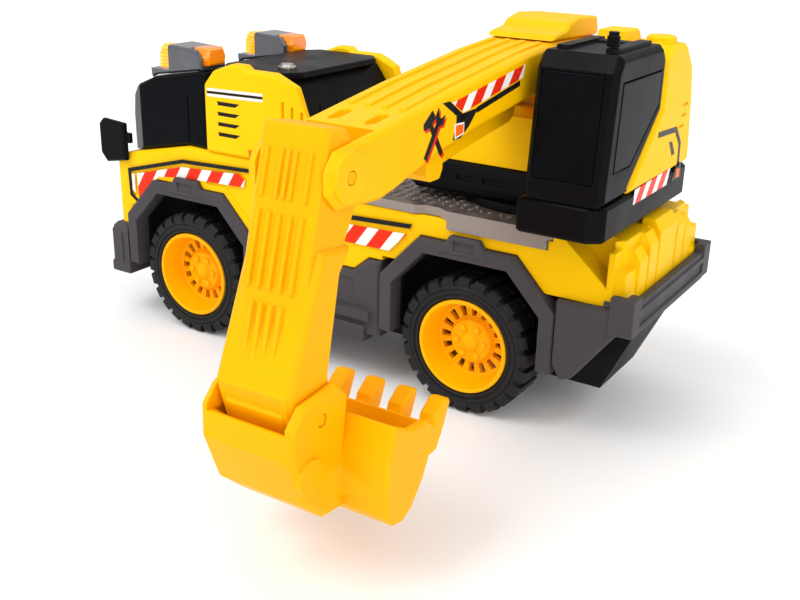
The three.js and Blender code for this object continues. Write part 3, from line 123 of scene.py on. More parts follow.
def linear(code):
    """An sRGB hex colour as linear RGBA."""
    parts = [int(code[i : i + 2], 16) / 255 for i in (1, 3, 5)]
    return [p / 12.92 if p <= 0.04045 else ((p + 0.055) / 1.055) ** 2.4 for p in parts] + [1]


def lamp(name, kind, energy, place, target, **settings):
    light = bpy.data.lights.new(name, kind)
    light.energy = energy
    for key, value in settings.items():
        setattr(light, key, value)
    holder = bpy.data.objects.new(name, light)
    bpy.context.scene.collection.objects.link(holder)
    holder.location = place
    holder.rotation_mode = "QUATERNION"
    holder.rotation_quaternion = (Vector(target) - Vector(place)).to_track_quat("-Z", "Y")


def set_studio():
    scene = bpy.context.scene
    scene.view_settings.view_transform = "Standard"
    world = bpy.data.worlds.new("studio")
    world.use_nodes = True
    scene.world = world
    tree = world.node_tree
    ray = add(tree, "ShaderNodeTexCoord").outputs["Generated"]
    height = add(tree, "ShaderNodeSeparateXYZ", {0: ray}).outputs["Z"]
    limits = {"Value": height, "From Min": 0.0, "From Max": 0.7, "To Min": 0.45, "To Max": 1.0}
    bright = add(tree, "ShaderNodeMapRange", limits).outputs["Result"]
    tree.links.new(bright, tree.nodes["Background"].inputs["Strength"])
    tree.nodes["Background"].inputs["Color"].default_value = linear("#FFFFFF")
    lamp("key", "SUN", 1.0, (-0.9, -1.6, 2.4), (0, 0, 0), angle=0.5)
    lamp("fill", "SUN", 0.8, (1.6, -1.0, 0.9), (0, 0, 0), angle=0.9)
    lamp("strip", "AREA", 1.0, (-0.1, -0.9, 0.9), (0, 0, 0.08), size=0.9, shape="SQUARE")
    paper = bpy.data.materials.new("matt_paper")
    paper.use_nodes = True
    tree = paper.node_tree
    shader = tree.nodes["Principled BSDF"]
    shader.inputs["Roughness"].default_value = 0.9
    place = add(tree, "ShaderNodeTexCoord").outputs["Object"]
    fibres = add(tree, "ShaderNodeTexNoise", {"Vector": place, "Scale": 40.0, "Detail": 3.0})
    tint = add(
        tree,
        "ShaderNodeMix",
        {0: fibres.outputs["Fac"], 6: linear("#FAFAFA"), 7: linear("#FFFFFF")},
        data_type="RGBA",
    )
    tree.links.new(tint.outputs[2], shader.inputs["Base Color"])
    mesh = bpy.data.meshes.new("floor")
    mesh.from_pydata([(-6, -6, 0), (6, -6, 0), (6, 6, 0), (-6, 6, 0)], [], [(0, 1, 2, 3)])
    floor = bpy.data.objects.new("floor", mesh)
    scene.collection.objects.link(floor)
    floor.location.z = -0.0002
    mesh.materials.append(paper)


set_camera()
set_studio()


# ---- Materials -----------------------------------------------------------------------------------
def blank(name, **sockets):
    """A new material with its shader's own values set, and the object's coordinates."""
    made = bpy.data.materials.new(name)
    made.use_nodes = True
    shader = made.node_tree.nodes["Principled BSDF"]
    for key, value in sockets.items():
        shader.inputs[key.replace("_", " ")].default_value = value
    place = add(made.node_tree, "ShaderNodeTexCoord").outputs["Object"]
    return made, made.node_tree, shader, place


def noise(tree, place, size, detail=2.0):
    """A cloudy pattern whose blotches are about size millimetres across."""
    scale = 1 / (size * MM)
    return add(tree, "ShaderNodeTexNoise", {"Vector": place, "Scale": scale, "Detail": detail})


def between(tree, mask, low, high):
    """A number that goes from low to high as the mask goes from 0.3 to 0.7."""
    limits = {"Value": mask, "From Min": 0.3, "From Max": 0.7, "To Min": low, "To Max": high}
    return add(tree, "ShaderNodeMapRange", limits).outputs["Result"]


def blend_colour(tree, mask, first, second):
    return add(tree, "ShaderNodeMix", {0: mask, 6: first, 7: second}, data_type="RGBA").outputs[2]


def edges(tree, width):
    """1 on convex and concave edges, falling to 0 about width millimetres away from them."""
    soft = add(tree, "ShaderNodeBevel", {"Radius": width * MM}, samples=4).outputs["Normal"]
    hard = add(tree, "ShaderNodeNewGeometry").outputs["Normal"]
    same = add(tree, "ShaderNodeVectorMath", {0: soft, 1: hard}, operation="DOT_PRODUCT")
    limits = {"Value": same.outputs["Value"], "From Min": 0.985, "From Max": 0.86}
    return add(tree, "ShaderNodeMapRange", limits).outputs["Result"]


def moulded_plastic(name, colour, shade, gloss, grain=0.7, depth=0.012, mark_colour=None, shine=0.08):
    """Injection-moulded ABS: spark-eroded grain, flow clouds in the colour, and edges lightened in
    patches: rubbing plus a painted edge highlight.
    """
    made, tree, shader, place = blank(name, Roughness=gloss, IOR=1.53, Specular_IOR_Level=shine)
    clouds = noise(tree, place, 45, 3.0).outputs["Fac"]
    tone = blend_colour(tree, between(tree, clouds, 0, 1), linear(colour), linear(shade))
    # Edges, convex and concave, take a lighter edge colour in patches: partly rubbed wear, partly a
    # painted edge highlight.
    rubbed_and_highlit = edges(tree, 0.7)
    patchy = noise(tree, place, 5).outputs["Fac"]
    share = add(tree, "ShaderNodeMath", {0: rubbed_and_highlit, 1: patchy}, operation="MULTIPLY").outputs[0]
    tree.links.new(
        blend_colour(tree, share, tone, linear(mark_colour or colour)), shader.inputs["Base Color"]
    )
    smears = noise(tree, place, 18, 5.0).outputs["Fac"]
    tree.links.new(between(tree, smears, gloss - 0.05, gloss + 0.09), shader.inputs["Roughness"])
    fine = noise(tree, place, grain, 2.0).outputs["Fac"]
    bump = add(tree, "ShaderNodeBump", {"Height": fine, "Strength": 0.35, "Distance": depth * MM})
    tree.links.new(bump.outputs["Normal"], shader.inputs["Normal"])
    return made


# Yellow ABS out of a polished tool: a saturated colour with a broad, soft shine.
yellow_abs = moulded_plastic("yellow_moulded_abs", "#FFCC00", "#FFC400", 0.4, mark_colour="#FFD628")
# The arm is moulded from a warmer batch of the same plastic.
boom_abs = moulded_plastic("boom_moulded_abs", "#FFC400", "#FFBC00", 0.4, mark_colour="#FFCE20")
# Stick, bucket, pins and wheel rims look slightly translucent and orange next to the body.
stick_abs = moulded_plastic("stick_moulded_abs", "#FFB600", "#FFAE00", 0.4, mark_colour="#FFC220")
# Grey polypropylene: a satin grain, with lighter grey edges: rubbing plus a painted edge highlight.
grey_pp = moulded_plastic(
    "grey_moulded_polypropylene", "#4B484C", "#434144", 0.46, 0.9, 0.03, "#6E6C70"
)
# Black ABS from a polished tool: dark, with grey edges that draw its outline: rubbing plus a
# painted edge highlight.
black_abs = moulded_plastic(
    "black_moulded_abs", "#0D0E0F", "#0A0A0B", 0.34, mark_colour="#2E2F32", shine=0.05
)
# Unpolished black underside, duller than what shows.
chassis_pp = moulded_plastic(
    "chassis_moulded_polypropylene", "#151516", "#101011", 0.5, 1.0, 0.03, "#303032"
)


def window_plastic():
    """Polished black polystyrene windows: near-black with a hard clear reflection."""
    made, tree, shader, place = blank(
        "window_polished_polystyrene", IOR=1.59, Roughness=0.14, Specular_IOR_Level=0.03
    )
    tone = noise(tree, place, 30).outputs["Fac"]
    tree.links.new(
        blend_colour(tree, tone, linear("#08090C"), linear("#0E1115")), shader.inputs["Base Color"]
    )
    smears = noise(tree, place, 12, 4.0).outputs["Fac"]
    tree.links.new(between(tree, smears, 0.1, 0.24), shader.inputs["Roughness"])
    return made


def smoke_plastic():
    """Tinted polycarbonate lamp hoods: a grey body colour under a wet-looking skin."""
    made, tree, shader, place = blank("smoke_moulded_polycarbonate", IOR=1.58, Roughness=0.12)
    shader.inputs["Transmission Weight"].default_value = 0.25
    shader.inputs["Coat Weight"].default_value = 0.5
    tone = noise(tree, place, 9).outputs["Fac"]
    tree.links.new(
        blend_colour(tree, tone, linear("#3E4148"), linear("#565A62")), shader.inputs["Base Color"]
    )
    return made


def lens(name, colour, deep, glow, strength):
    """Moulded acrylic lamp lens: prism ribs inside catch the light of the bulb behind; on the
    headlamps the weak emission is a painted glint.
    """
    made, tree, shader, place = blank(name, IOR=1.49, Roughness=0.12)
    shader.inputs["Coat Weight"].default_value = 0.6
    shader.inputs["Emission Strength"].default_value = strength
    ribs = add(
        tree,
        "ShaderNodeTexWave",
        {"Vector": place, "Scale": 1 / (5.2 * MM), "Distortion": 0.4},
        bands_direction="Z",
    ).outputs["Fac"]
    tone = blend_colour(tree, ribs, linear(colour), linear(deep))
    tree.links.new(tone, shader.inputs["Base Color"])
    tree.links.new(
        blend_colour(tree, ribs, linear(glow), linear(colour)), shader.inputs["Emission Color"]
    )
    return made


def rubbery_tyre():
    """Soft PVC tyres: matt black with dust in the grain, and greyer edges: rubbing plus a painted
    edge highlight.
    """
    made, tree, shader, place = blank(
        "tyre_moulded_pvc", Roughness=0.6, IOR=1.5, Specular_IOR_Level=0.3
    )
    dust = noise(tree, place, 7, 6.0).outputs["Fac"]
    tone = blend_colour(tree, between(tree, dust, 0, 1), linear("#0C0C0C"), linear("#161616"))
    # Greyer edges: partly rubbed wear, partly a painted edge highlight.
    rubbed_and_highlit = edges(tree, 0.6)
    tree.links.new(
        blend_colour(tree, rubbed_and_highlit, tone, linear("#262627")), shader.inputs["Base Color"]
    )
    tree.links.new(between(tree, dust, 0.5, 0.68), shader.inputs["Roughness"])
    fine = noise(tree, place, 0.8, 3.0).outputs["Fac"]
    bump = add(tree, "ShaderNodeBump", {"Height": fine, "Strength": 0.4, "Distance": 0.04 * MM})
    tree.links.new(bump.outputs["Normal"], shader.inputs["Normal"])
    return made


def tread_plate(name, top, side):
    """Grey polypropylene plate painted dark on top: its upright edges keep the bare grey."""
    made, tree, shader, place = blank(name, Roughness=0.4, IOR=1.5)
    normal = add(tree, "ShaderNodeNewGeometry").outputs["Normal"]
    up = add(tree, "ShaderNodeSeparateXYZ", {0: normal}).outputs["Z"]
    flat = add(tree, "ShaderNodeMath", {0: up, 1: 0.7}, operation="GREATER_THAN").outputs[0]
    scuffs = noise(tree, place, 4, 6.0).outputs["Fac"]
    dark = blend_colour(tree, between(tree, scuffs, 0, 0.5), linear(top), linear(side))
    tone = blend_colour(tree, flat, linear(side), dark)
    tree.links.new(tone, shader.inputs["Base Color"])
    tree.links.new(between(tree, scuffs, 0.32, 0.5), shader.inputs["Roughness"])
    return made


def plated_metal(name, colour, gloss):
    """Plated or metallised parts: fine turning lines spread the highlight."""
    made, tree, shader, place = blank(name, Metallic=1.0, Roughness=gloss)
    lines = noise(tree, place, 0.5, 4.0).outputs["Fac"]
    tree.links.new(
        blend_colour(tree, lines, linear(colour), linear("#8E9196")), shader.inputs["Base Color"]
    )
    tree.links.new(between(tree, lines, gloss - 0.06, gloss + 0.12), shader.inputs["Roughness"])
    return made


def printed_film(name, colour, mark_colour):
    """Screen-printed sticker film: a flat ink under a thin gloss, with dust specks."""
    made, tree, shader, place = blank(name, Roughness=0.25, IOR=1.5, Specular_IOR_Level=0.12)
    specks = noise(tree, place, 2.5, 4.0).outputs["Fac"]
    tree.links.new(
        blend_colour(tree, between(tree, specks, 0, 0.5), linear(colour), linear(mark_colour)),
        shader.inputs["Base Color"],
    )
    tree.links.new(between(tree, specks, 0.2, 0.34), shader.inputs["Roughness"])
    return made


RED_SHARE = 0.56


def hazard_film(name, along, lean, pitch, start=0.0):
    """Sticker film printed with red and white diagonals, pitch millimetres apart along an axis."""
    made, tree, shader, place = blank(name, Roughness=0.25, IOR=1.5, Specular_IOR_Level=0.12)
    across = Vector(along) / (pitch * MM) - Vector((0, 0, lean / (pitch * MM)))
    run = add(tree, "ShaderNodeVectorMath", {0: place, 1: across}, operation="DOT_PRODUCT")
    moved = add(tree, "ShaderNodeMath", {0: run.outputs["Value"], 1: start}, operation="ADD")
    cycle = add(tree, "ShaderNodeMath", {0: moved.outputs[0]}, operation="FRACT").outputs[0]
    past_red = {0: cycle, 1: RED_SHARE}
    white = add(tree, "ShaderNodeMath", past_red, operation="GREATER_THAN").outputs[0]
    specks = noise(tree, place, 2.5, 4.0).outputs["Fac"]
    dull = between(tree, specks, 0, 0.4)
    red_ink = blend_colour(tree, dull, linear("#F03014"), linear("#E0290F"))
    white_ink = blend_colour(tree, dull, linear("#FBF8F4"), linear("#EFEBE6"))
    tree.links.new(blend_colour(tree, white, red_ink, white_ink), shader.inputs["Base Color"])
    tree.links.new(between(tree, specks, 0.2, 0.34), shader.inputs["Roughness"])
    return made


glass_ps = window_plastic()
smoke_pc = smoke_plastic()
amber_lit = lens("amber_lit_acrylic", "#FF8A00", "#FF6A00", "#FFA010", 1.5)
amber_soft = lens("amber_moulded_acrylic", "#FF9408", "#F07400", "#FF9408", 0.25)
# The headlamp lenses glow faintly white: a painted glint.
headlamp_glint_lens = lens("clear_moulded_acrylic", "#E6ECF0", "#B9C2C9", "#FFFFFF", 0.12)
tyre_pvc = rubbery_tyre()
deck_paint = tread_plate("deck_painted_polypropylene", "#3E3936", "#8F857F")
bar_paint = tread_plate("bars_rubbed_polypropylene", "#8B827C", "#6A625D")
steel = plated_metal("zinc_plated_steel", "#C9CCD0", 0.3)
silver = plated_metal("metallised_abs", "#DADCE0", 0.18)
black_ink = printed_film("black_printed_film", "#161616", "#2A2826")
red_ink = printed_film("red_printed_film", "#E8300F", "#C8280C")
white_ink = printed_film("white_printed_film", "#F7F4F0", "#E2DDD6")
orange_ink = printed_film("orange_printed_film", "#FF6A1E", "#E85A14")

# ---- Moulded pieces ------------------------------------------------------------------------------
SHARP = math.radians(20)
FLAT = math.radians(0.4)
WELD = 0.004
BEVEL_STEPS = 3
HEIGHT_SHARE = 0.4


def link(name, mesh):
    made = bpy.data.objects.new(name, mesh)
    bpy.context.scene.collection.objects.link(made)
    return made


def baked(source, name):
    """The source object with its modifiers applied, as a plain mesh object; the source goes."""
    graph = bpy.context.evaluated_depsgraph_get()
    mesh = bpy.data.meshes.new_from_object(source.evaluated_get(graph))
    bpy.data.objects.remove(source)
    return link(name, mesh)


def finish_piece(piece, body, finish, *nodes, slot=None):
    """Gives a piece its finish and its body, and hides the CAD nodes that it stands in for."""
    piece.data.name = piece.name
    if finish:
        piece.data.materials.clear()
        piece.data.materials.append(finish)
    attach(piece, body)
    if nodes:
        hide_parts(*nodes)


def close_prism(bm, low, high):
    """Closes two matching rings of corners into a solid, faces outwards."""
    bm.faces.new(low)
    bm.faces.new(list(reversed(high)))
    for i in range(len(low)):
        j = (i + 1) % len(low)
        bm.faces.new((low[j], low[i], high[i], high[j]))
    bmesh.ops.recalc_face_normals(bm, faces=bm.faces)


def height_over(vert, face):
    """How far a corner of a face stands from the farther of its other edges."""
    spans = [e.calc_length() for e in face.edges if vert in e.verts]
    away = [2 * face.calc_area() / e.calc_length() for e in face.edges if vert not in e.verts]
    return min(spans + away)


def rounded(mesh_builder, name, radius):
    """Rounds the sharp edges of a closed mesh, less where its faces are small."""
    bm = bmesh.new()
    mesh_builder(bm)
    weights = bm.edges.layers.float.new("bevel_weight_edge")
    for edge in bm.edges:
        if not edge.is_convex or edge.calc_face_angle(0) < SHARP:
            continue
        heights = [height_over(v, face) for v in edge.verts for face in v.link_faces]
        width = min(radius * MM, HEIGHT_SHARE * min(heights))
        edge[weights] = width / (radius * MM)
    mesh = bpy.data.meshes.new(name)
    bm.to_mesh(mesh)
    bm.free()
    if "custom_normal" in mesh.attributes:
        mesh.attributes.remove(mesh.attributes["custom_normal"])
    mesh.shade_smooth()
    rough = link(name + "_rough", mesh)
    bevel = rough.modifiers.new("round", "BEVEL")
    bevel.width = radius * MM
    bevel.segments = BEVEL_STEPS
    bevel.limit_method = "WEIGHT"
    bevel.use_clamp_overlap = False
    bevel.miter_outer = "MITER_ARC"
    rough.modifiers.new("shade", "WEIGHTED_NORMAL").weight = 90
    return baked(rough, name)


def moulded(node, finish, radius):
    """A CAD node's shape with the rounded edges that its mould gives it."""

    def build(bm):
        bm.from_mesh(frame["nodes"][node].data)
        bmesh.ops.remove_doubles(bm, verts=bm.verts, dist=WELD * MM)
        bmesh.ops.dissolve_limit(bm, angle_limit=FLAT, verts=bm.verts, edges=bm.edges)
        bmesh.ops.triangulate(bm, faces=bm.faces, ngon_method="BEAUTY")

    piece = rounded(build, "moulded_" + node, radius)
    slot = next(p["material_slot"] for p in frame["record"]["subparts"] if p["node"] == node)
    finish_piece(piece, frame["nodes"][node]["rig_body"], finish, node, slot=slot)


BODY_EDGE = 0.7
TRIM_EDGE = 0.35
moulds = {
    "cab_body": (yellow_abs, BODY_EDGE),
    "rear_body": (yellow_abs, BODY_EDGE),
    "cab_left_panel": (yellow_abs, BODY_EDGE),
    "cab_right_panel": (yellow_abs, BODY_EDGE),
    "turret_core": (yellow_abs, BODY_EDGE),
    "turret_housing": (yellow_abs, BODY_EDGE),
    "boom": (boom_abs, BODY_EDGE),
    "boom_cap": (boom_abs, BODY_EDGE),
    "boom_ram": (boom_abs, BODY_EDGE),
    "stick": (stick_abs, BODY_EDGE),
    "bucket": (stick_abs, BODY_EDGE),
    "front_bumper": (grey_pp, BODY_EDGE),
    "rear_bumper": (grey_pp, BODY_EDGE),
    "cab_glazing": (glass_ps, 1.0),
    "cab_back": (black_abs, BODY_EDGE),
    "cab_roof": (black_abs, TRIM_EDGE),
    "turret_base": (black_abs, BODY_EDGE),
    "operator_cab": (black_abs, BODY_EDGE),
    "counterweight": (black_abs, BODY_EDGE),
    "exhaust_stack": (black_abs, TRIM_EDGE),
    "front_grille": (black_abs, TRIM_EDGE),
    "front_window": (glass_ps, TRIM_EDGE),
    "side_window": (glass_ps, TRIM_EDGE),
    "swing_ring": (chassis_pp, TRIM_EDGE),
    "chassis_base": (chassis_pp, TRIM_EDGE),
    "battery_door": (chassis_pp, TRIM_EDGE),
    "deck_plate": (deck_paint, TRIM_EDGE),
    "roof_button": (silver, TRIM_EDGE),
}
for side, _ in SIDES:
    moulds[f"{side}_side_box"] = (grey_pp, BODY_EDGE)
    moulds[f"{side}_mirror"] = (black_abs, TRIM_EDGE)
    moulds[f"{side}_light_pod"] = (smoke_pc, TRIM_EDGE)
    moulds[f"{side}_beacon"] = (amber_lit, TRIM_EDGE)
    moulds[f"{side}_pod_lens"] = (amber_soft, TRIM_EDGE)
    moulds[f"{side}_headlamp"] = (headlamp_glint_lens, TRIM_EDGE)
    for axle in AXLES:
        moulds[f"{axle}_{side}_arch"] = (grey_pp, BODY_EDGE)
for node, (finish, radius) in moulds.items():
    moulded(node, finish, radius)
for node in ("front_axle", "rear_axle", "door_screw", "spindle_washer", "spindle_screw"):
    moulded(node, steel, 0.15)
for node in ("boom_pin", "stick_pin", "bucket_pin"):
    moulded(node, stick_abs, 0.25)


# ---- Things that repeat --------------------------------------------------------------------------
def named_ports(tree, **kinds):
    """Gives a tree its named inputs and one geometry output; returns each input's identifier."""
    ports = {}
    for name, kind in kinds.items():
        socket = tree.interface.new_socket(
            name=name, in_out="INPUT", socket_type="NodeSocket" + kind
        )
        ports[name] = socket.identifier
    tree.interface.new_socket(name="Geometry", in_out="OUTPUT", socket_type="NodeSocketGeometry")
    return ports


def ring_tree():
    """Copies of a piece on a circle round Z, each turned to face outwards."""
    tree = bpy.data.node_groups.new("ring of copies", "GeometryNodeTree")
    ports = named_ports(tree, Piece="Object", Count="Int", Radius="Float", Finish="Material")
    given = add(tree, "NodeGroupInput").outputs
    circle = add(
        tree, "GeometryNodeMeshCircle", {"Vertices": given["Count"], "Radius": given["Radius"]}
    ).outputs[0]
    outward = add(tree, "GeometryNodeInputPosition").outputs[0]
    facing = add(
        tree, "FunctionNodeAlignRotationToVector", {"Vector": outward}, axis="X", pivot_axis="Z"
    )
    copy = add(tree, "GeometryNodeObjectInfo", {"Object": given["Piece"]}).outputs["Geometry"]
    copies = add(
        tree,
        "GeometryNodeInstanceOnPoints",
        {"Points": circle, "Instance": copy, "Rotation": facing.outputs[0]},
    ).outputs[0]
    real = add(tree, "GeometryNodeRealizeInstances", {"Geometry": copies}).outputs[0]
    painted = add(
        tree, "GeometryNodeSetMaterial", {"Geometry": real, "Material": given["Finish"]}
    ).outputs[0]
    add(tree, "NodeGroupOutput", {"Geometry": painted})
    return tree, ports


def field_tree():
    """Low bars on a set of points, each turned by its point's own angle."""
    tree = bpy.data.node_groups.new("field of tread bars", "GeometryNodeTree")
    tree.interface.new_socket(name="Geometry", in_out="INPUT", socket_type="NodeSocketGeometry")
    ports = named_ports(tree, Length="Float", Width="Float", Height="Float", Finish="Material")
    given = add(tree, "NodeGroupInput").outputs
    bar = add(
        tree,
        "GeometryNodeMeshCone",
        {"Vertices": 6, "Radius Top": 0.3, "Radius Bottom": 0.5, "Depth": 1.0},
    ).outputs[0]
    size = add(
        tree,
        "ShaderNodeCombineXYZ",
        {"X": given["Length"], "Y": given["Width"], "Z": given["Height"]},
    ).outputs[0]
    turn = add(
        tree, "GeometryNodeInputNamedAttribute", {"Name": "turn"}, data_type="FLOAT_VECTOR"
    ).outputs[0]
    bars = add(
        tree,
        "GeometryNodeInstanceOnPoints",
        {"Points": given["Geometry"], "Instance": bar, "Rotation": turn, "Scale": size},
    ).outputs[0]
    real = add(tree, "GeometryNodeRealizeInstances", {"Geometry": bars}).outputs[0]
    painted = add(
        tree, "GeometryNodeSetMaterial", {"Geometry": real, "Material": given["Finish"]}
    ).outputs[0]
    add(tree, "NodeGroupOutput", {"Geometry": painted})
    return tree, ports


RING, RING_PORTS = ring_tree()
FIELD, FIELD_PORTS = field_tree()


def grown(base, grower, ports, **values):
    """Runs a node tree on an object and returns the plain mesh that it makes."""
    modifier = base.modifiers.new("grow", "NODES")
    modifier.node_group = grower
    for name, value in values.items():
        modifier[ports[name]] = value
    return baked(base, base.name + "_grown")


def ring_of(piece, count, radius, finish):
    base = link("ring", bpy.data.meshes.new("ring"))
    sizes = {"Piece": piece, "Count": count, "Radius": radius * MM}
    made = grown(base, RING, RING_PORTS, Finish=finish, **sizes)
    bpy.data.objects.remove(piece)
    return made


BAR_PITCH = 4.6
RING_CLEAR = 35.5
DECK_MARGIN = 4.4
DECK_WIDE_TO = 32
DECK_TAPER = 14


def deck_bars():
    """The tread pattern on the plate behind the cab and around the turret."""
    step = BAR_PITCH * MM
    low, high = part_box("deck_plate")
    points, turns = [], []
    for row in range(int((high.y - low.y) / step)):
        for column in range(int((high.x - low.x) / step)):
            x = low.x + (column + 0.8) * step
            y = low.y + (row + 0.7) * step
            out = math.hypot(x - middle("swing_ring").x, y - origin.y) / MM
            edge = min(high.y - y, y - low.y) / MM
            past = (x - origin.x) / MM
            if min(out - RING_CLEAR, edge - DECK_MARGIN) < 0:
                continue
            if past > DECK_WIDE_TO + min(edge, DECK_TAPER):
                continue
            points.append((x, y, high.z + 0.12 * MM))
            turns.append((0, 0, math.radians(45 if (row + column) % 2 else -45)))
    mesh = bpy.data.meshes.new("bar_points")
    mesh.from_pydata(points, [], [])
    mesh.attributes.new("turn", "FLOAT_VECTOR", "POINT").data.foreach_set(
        "vector", [value for turn in turns for value in turn]
    )
    base = link("tread_bars", mesh)
    sizes = {"Length": 3.7 * MM, "Width": 1.5 * MM, "Height": 0.55 * MM}
    made = grown(base, FIELD, FIELD_PORTS, Finish=bar_paint, **sizes)
    made.name = "deck_tread_bars"
    finish_piece(made, "truck", None, slot="tread_plate_plastic")


deck_bars()


# ---- Wheels --------------------------------------------------------------------------------------
def turned(bm, profile, count):
    """A closed ring-shaped solid from a profile of (radius, height), turned round Z."""
    rings = []
    for step in range(count):
        angle = 2 * math.pi * step / count
        c, s = math.cos(angle), math.sin(angle)
        rings.append([bm.verts.new((r * c * MM, r * s * MM, h * MM)) for r, h in profile])
    for step in range(count):
        one, two = rings[step], rings[(step + 1) % count]
        for i in range(len(profile)):
            j = (i + 1) % len(profile)
            bm.faces.new((one[i], one[j], two[j], two[i]))


TYRE_RADIUS = AXLE_Z
TYRE_WIDTH = (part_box("rear_left_tyre")[1].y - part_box("rear_left_tyre")[0].y) / MM
LUG_COUNT = 24
LUG_DEPTH = 1.8
RIM_RADIUS = 21.4


def tyre_profile():
    """From the bead over the ridged sidewall and the shoulder to the tread, and back."""
    half = TYRE_WIDTH / 2
    tread = TYRE_RADIUS - LUG_DEPTH
    outer = [
        (RIM_RADIUS + 0.4, half - 1.9),
        (RIM_RADIUS + 0.5, half - 0.9),
        (RIM_RADIUS + 1.1, half - 0.25),
        (RIM_RADIUS + 1.9, half - 0.25),
        (RIM_RADIUS + 2.2, half - 0.8),
        (RIM_RADIUS + 2.7, half - 0.8),
        (RIM_RADIUS + 3.0, half - 0.1),
        (RIM_RADIUS + 4.2, half),
        (RIM_RADIUS + 4.5, half - 0.7),
        (RIM_RADIUS + 5.0, half - 0.7),
        (RIM_RADIUS + 5.3, half - 0.2),
        (RIM_RADIUS + 6.0, half - 0.7),
        (RIM_RADIUS + 6.2, half - 1.4),
        (tread - 0.5, half - 2.0),
        (tread, half - 3.0),
    ]
    inner = [(r, -h) for r, h in reversed(outer)]
    return outer + inner[:-1] + [(RIM_RADIUS - 1.0, -half + 1.9), (RIM_RADIUS - 1.0, half - 1.9)]


def lug_shape():
    """One lug: a block across half the tread with a shoulder that wraps on to the sidewall."""
    pitch = 2 * math.pi * TYRE_RADIUS / LUG_COUNT
    half = TYRE_WIDTH / 2
    wide = pitch / 2 - 1.4
    sink = -LUG_DEPTH - 1.2
    outline = [
        (0, 0.6),
        (0, half - 2.3),
        (-1.4, half - 0.7),
        (-4.6, half - 0.55),
        (-5.2, half - 1.6),
        (sink - 1, half - 4),
        (sink, 0.6),
    ]

    def build(bm):
        for mirror in (1, -1):
            ends = []
            for turn in (-1, 1):
                verts = []
                for out, along in outline:
                    spread = wide + (0.35 if out < -1.5 else 0)
                    skew = 0.9 * mirror * (along / half)
                    verts.append(
                        bm.verts.new((out * MM, (turn * spread + skew) * MM, mirror * along * MM))
                    )
                ends.append(verts)
            close_prism(bm, *ends)

    return rounded(build, "lug", 0.35)


def joined(name, pieces):
    """Several mesh objects as one piece; they stay separate closed shells inside it."""
    bm = bmesh.new()
    for piece in pieces:
        bm.from_mesh(piece.data)
    mesh = bpy.data.meshes.new(name)
    bm.to_mesh(mesh)
    bm.free()
    for piece in pieces:
        bpy.data.objects.remove(piece)
    mesh.shade_smooth()
    return link(name, mesh)


def shaded(piece, angle=32):
    """Smooth shading that breaks at edges sharper than an angle."""
    piece.data.shade_smooth()
    piece.data.set_sharp_from_angle(angle=math.radians(angle))
    return piece


def tyre_mesh():
    bm = bmesh.new()
    turned(bm, tyre_profile(), 120)
    bmesh.ops.recalc_face_normals(bm, faces=bm.faces)
    mesh = bpy.data.meshes.new("carcass")
    bm.to_mesh(mesh)
    bm.free()
    lugs = ring_of(lug_shape(), LUG_COUNT, TYRE_RADIUS, tyre_pvc)
    return shaded(joined("tyre", [link("carcass", mesh), lugs]))


HUB_DEPTH = 8.5
WEB_DEPTH = 11.0
SLOT_COUNT = 16
SLOT_CIRCLE = 13.6
NUT_COUNT = 6
NUT_CIRCLE = 6.9
NUT_RADIUS = 1.5
RIM_PROFILE = [
    (4.0, HUB_DEPTH - 0.8),
    (4.4, HUB_DEPTH - 0.2),
    (4.8, HUB_DEPTH),
    (9.2, HUB_DEPTH),
    (9.7, HUB_DEPTH + 0.3),
    (10.4, WEB_DEPTH - 0.4),
    (11.0, WEB_DEPTH),
    (16.2, WEB_DEPTH),
    (16.8, WEB_DEPTH - 0.4),
    (RIM_RADIUS - 2.0, 1.2),
    (RIM_RADIUS - 1.8, 0.4),
    (RIM_RADIUS - 1.3, 0.05),
    (RIM_RADIUS - 0.5, 0.05),
    (RIM_RADIUS, 0.6),
    (RIM_RADIUS, 1.5),
    (RIM_RADIUS - 1.4, 1.6),
    (RIM_RADIUS - 1.4, 20.0),
    (RIM_RADIUS - 3.4, 20.0),
    (RIM_RADIUS - 3.4, WEB_DEPTH + 3),
    (5.0, WEB_DEPTH + 3),
    (5.0, 20.0),
    (2.3, 20.0),
    (2.3, HUB_DEPTH + 1.5),
    (0.0, HUB_DEPTH + 1.5),
    (0.0, HUB_DEPTH - 1.5),
    (3.6, HUB_DEPTH - 1.5),
]


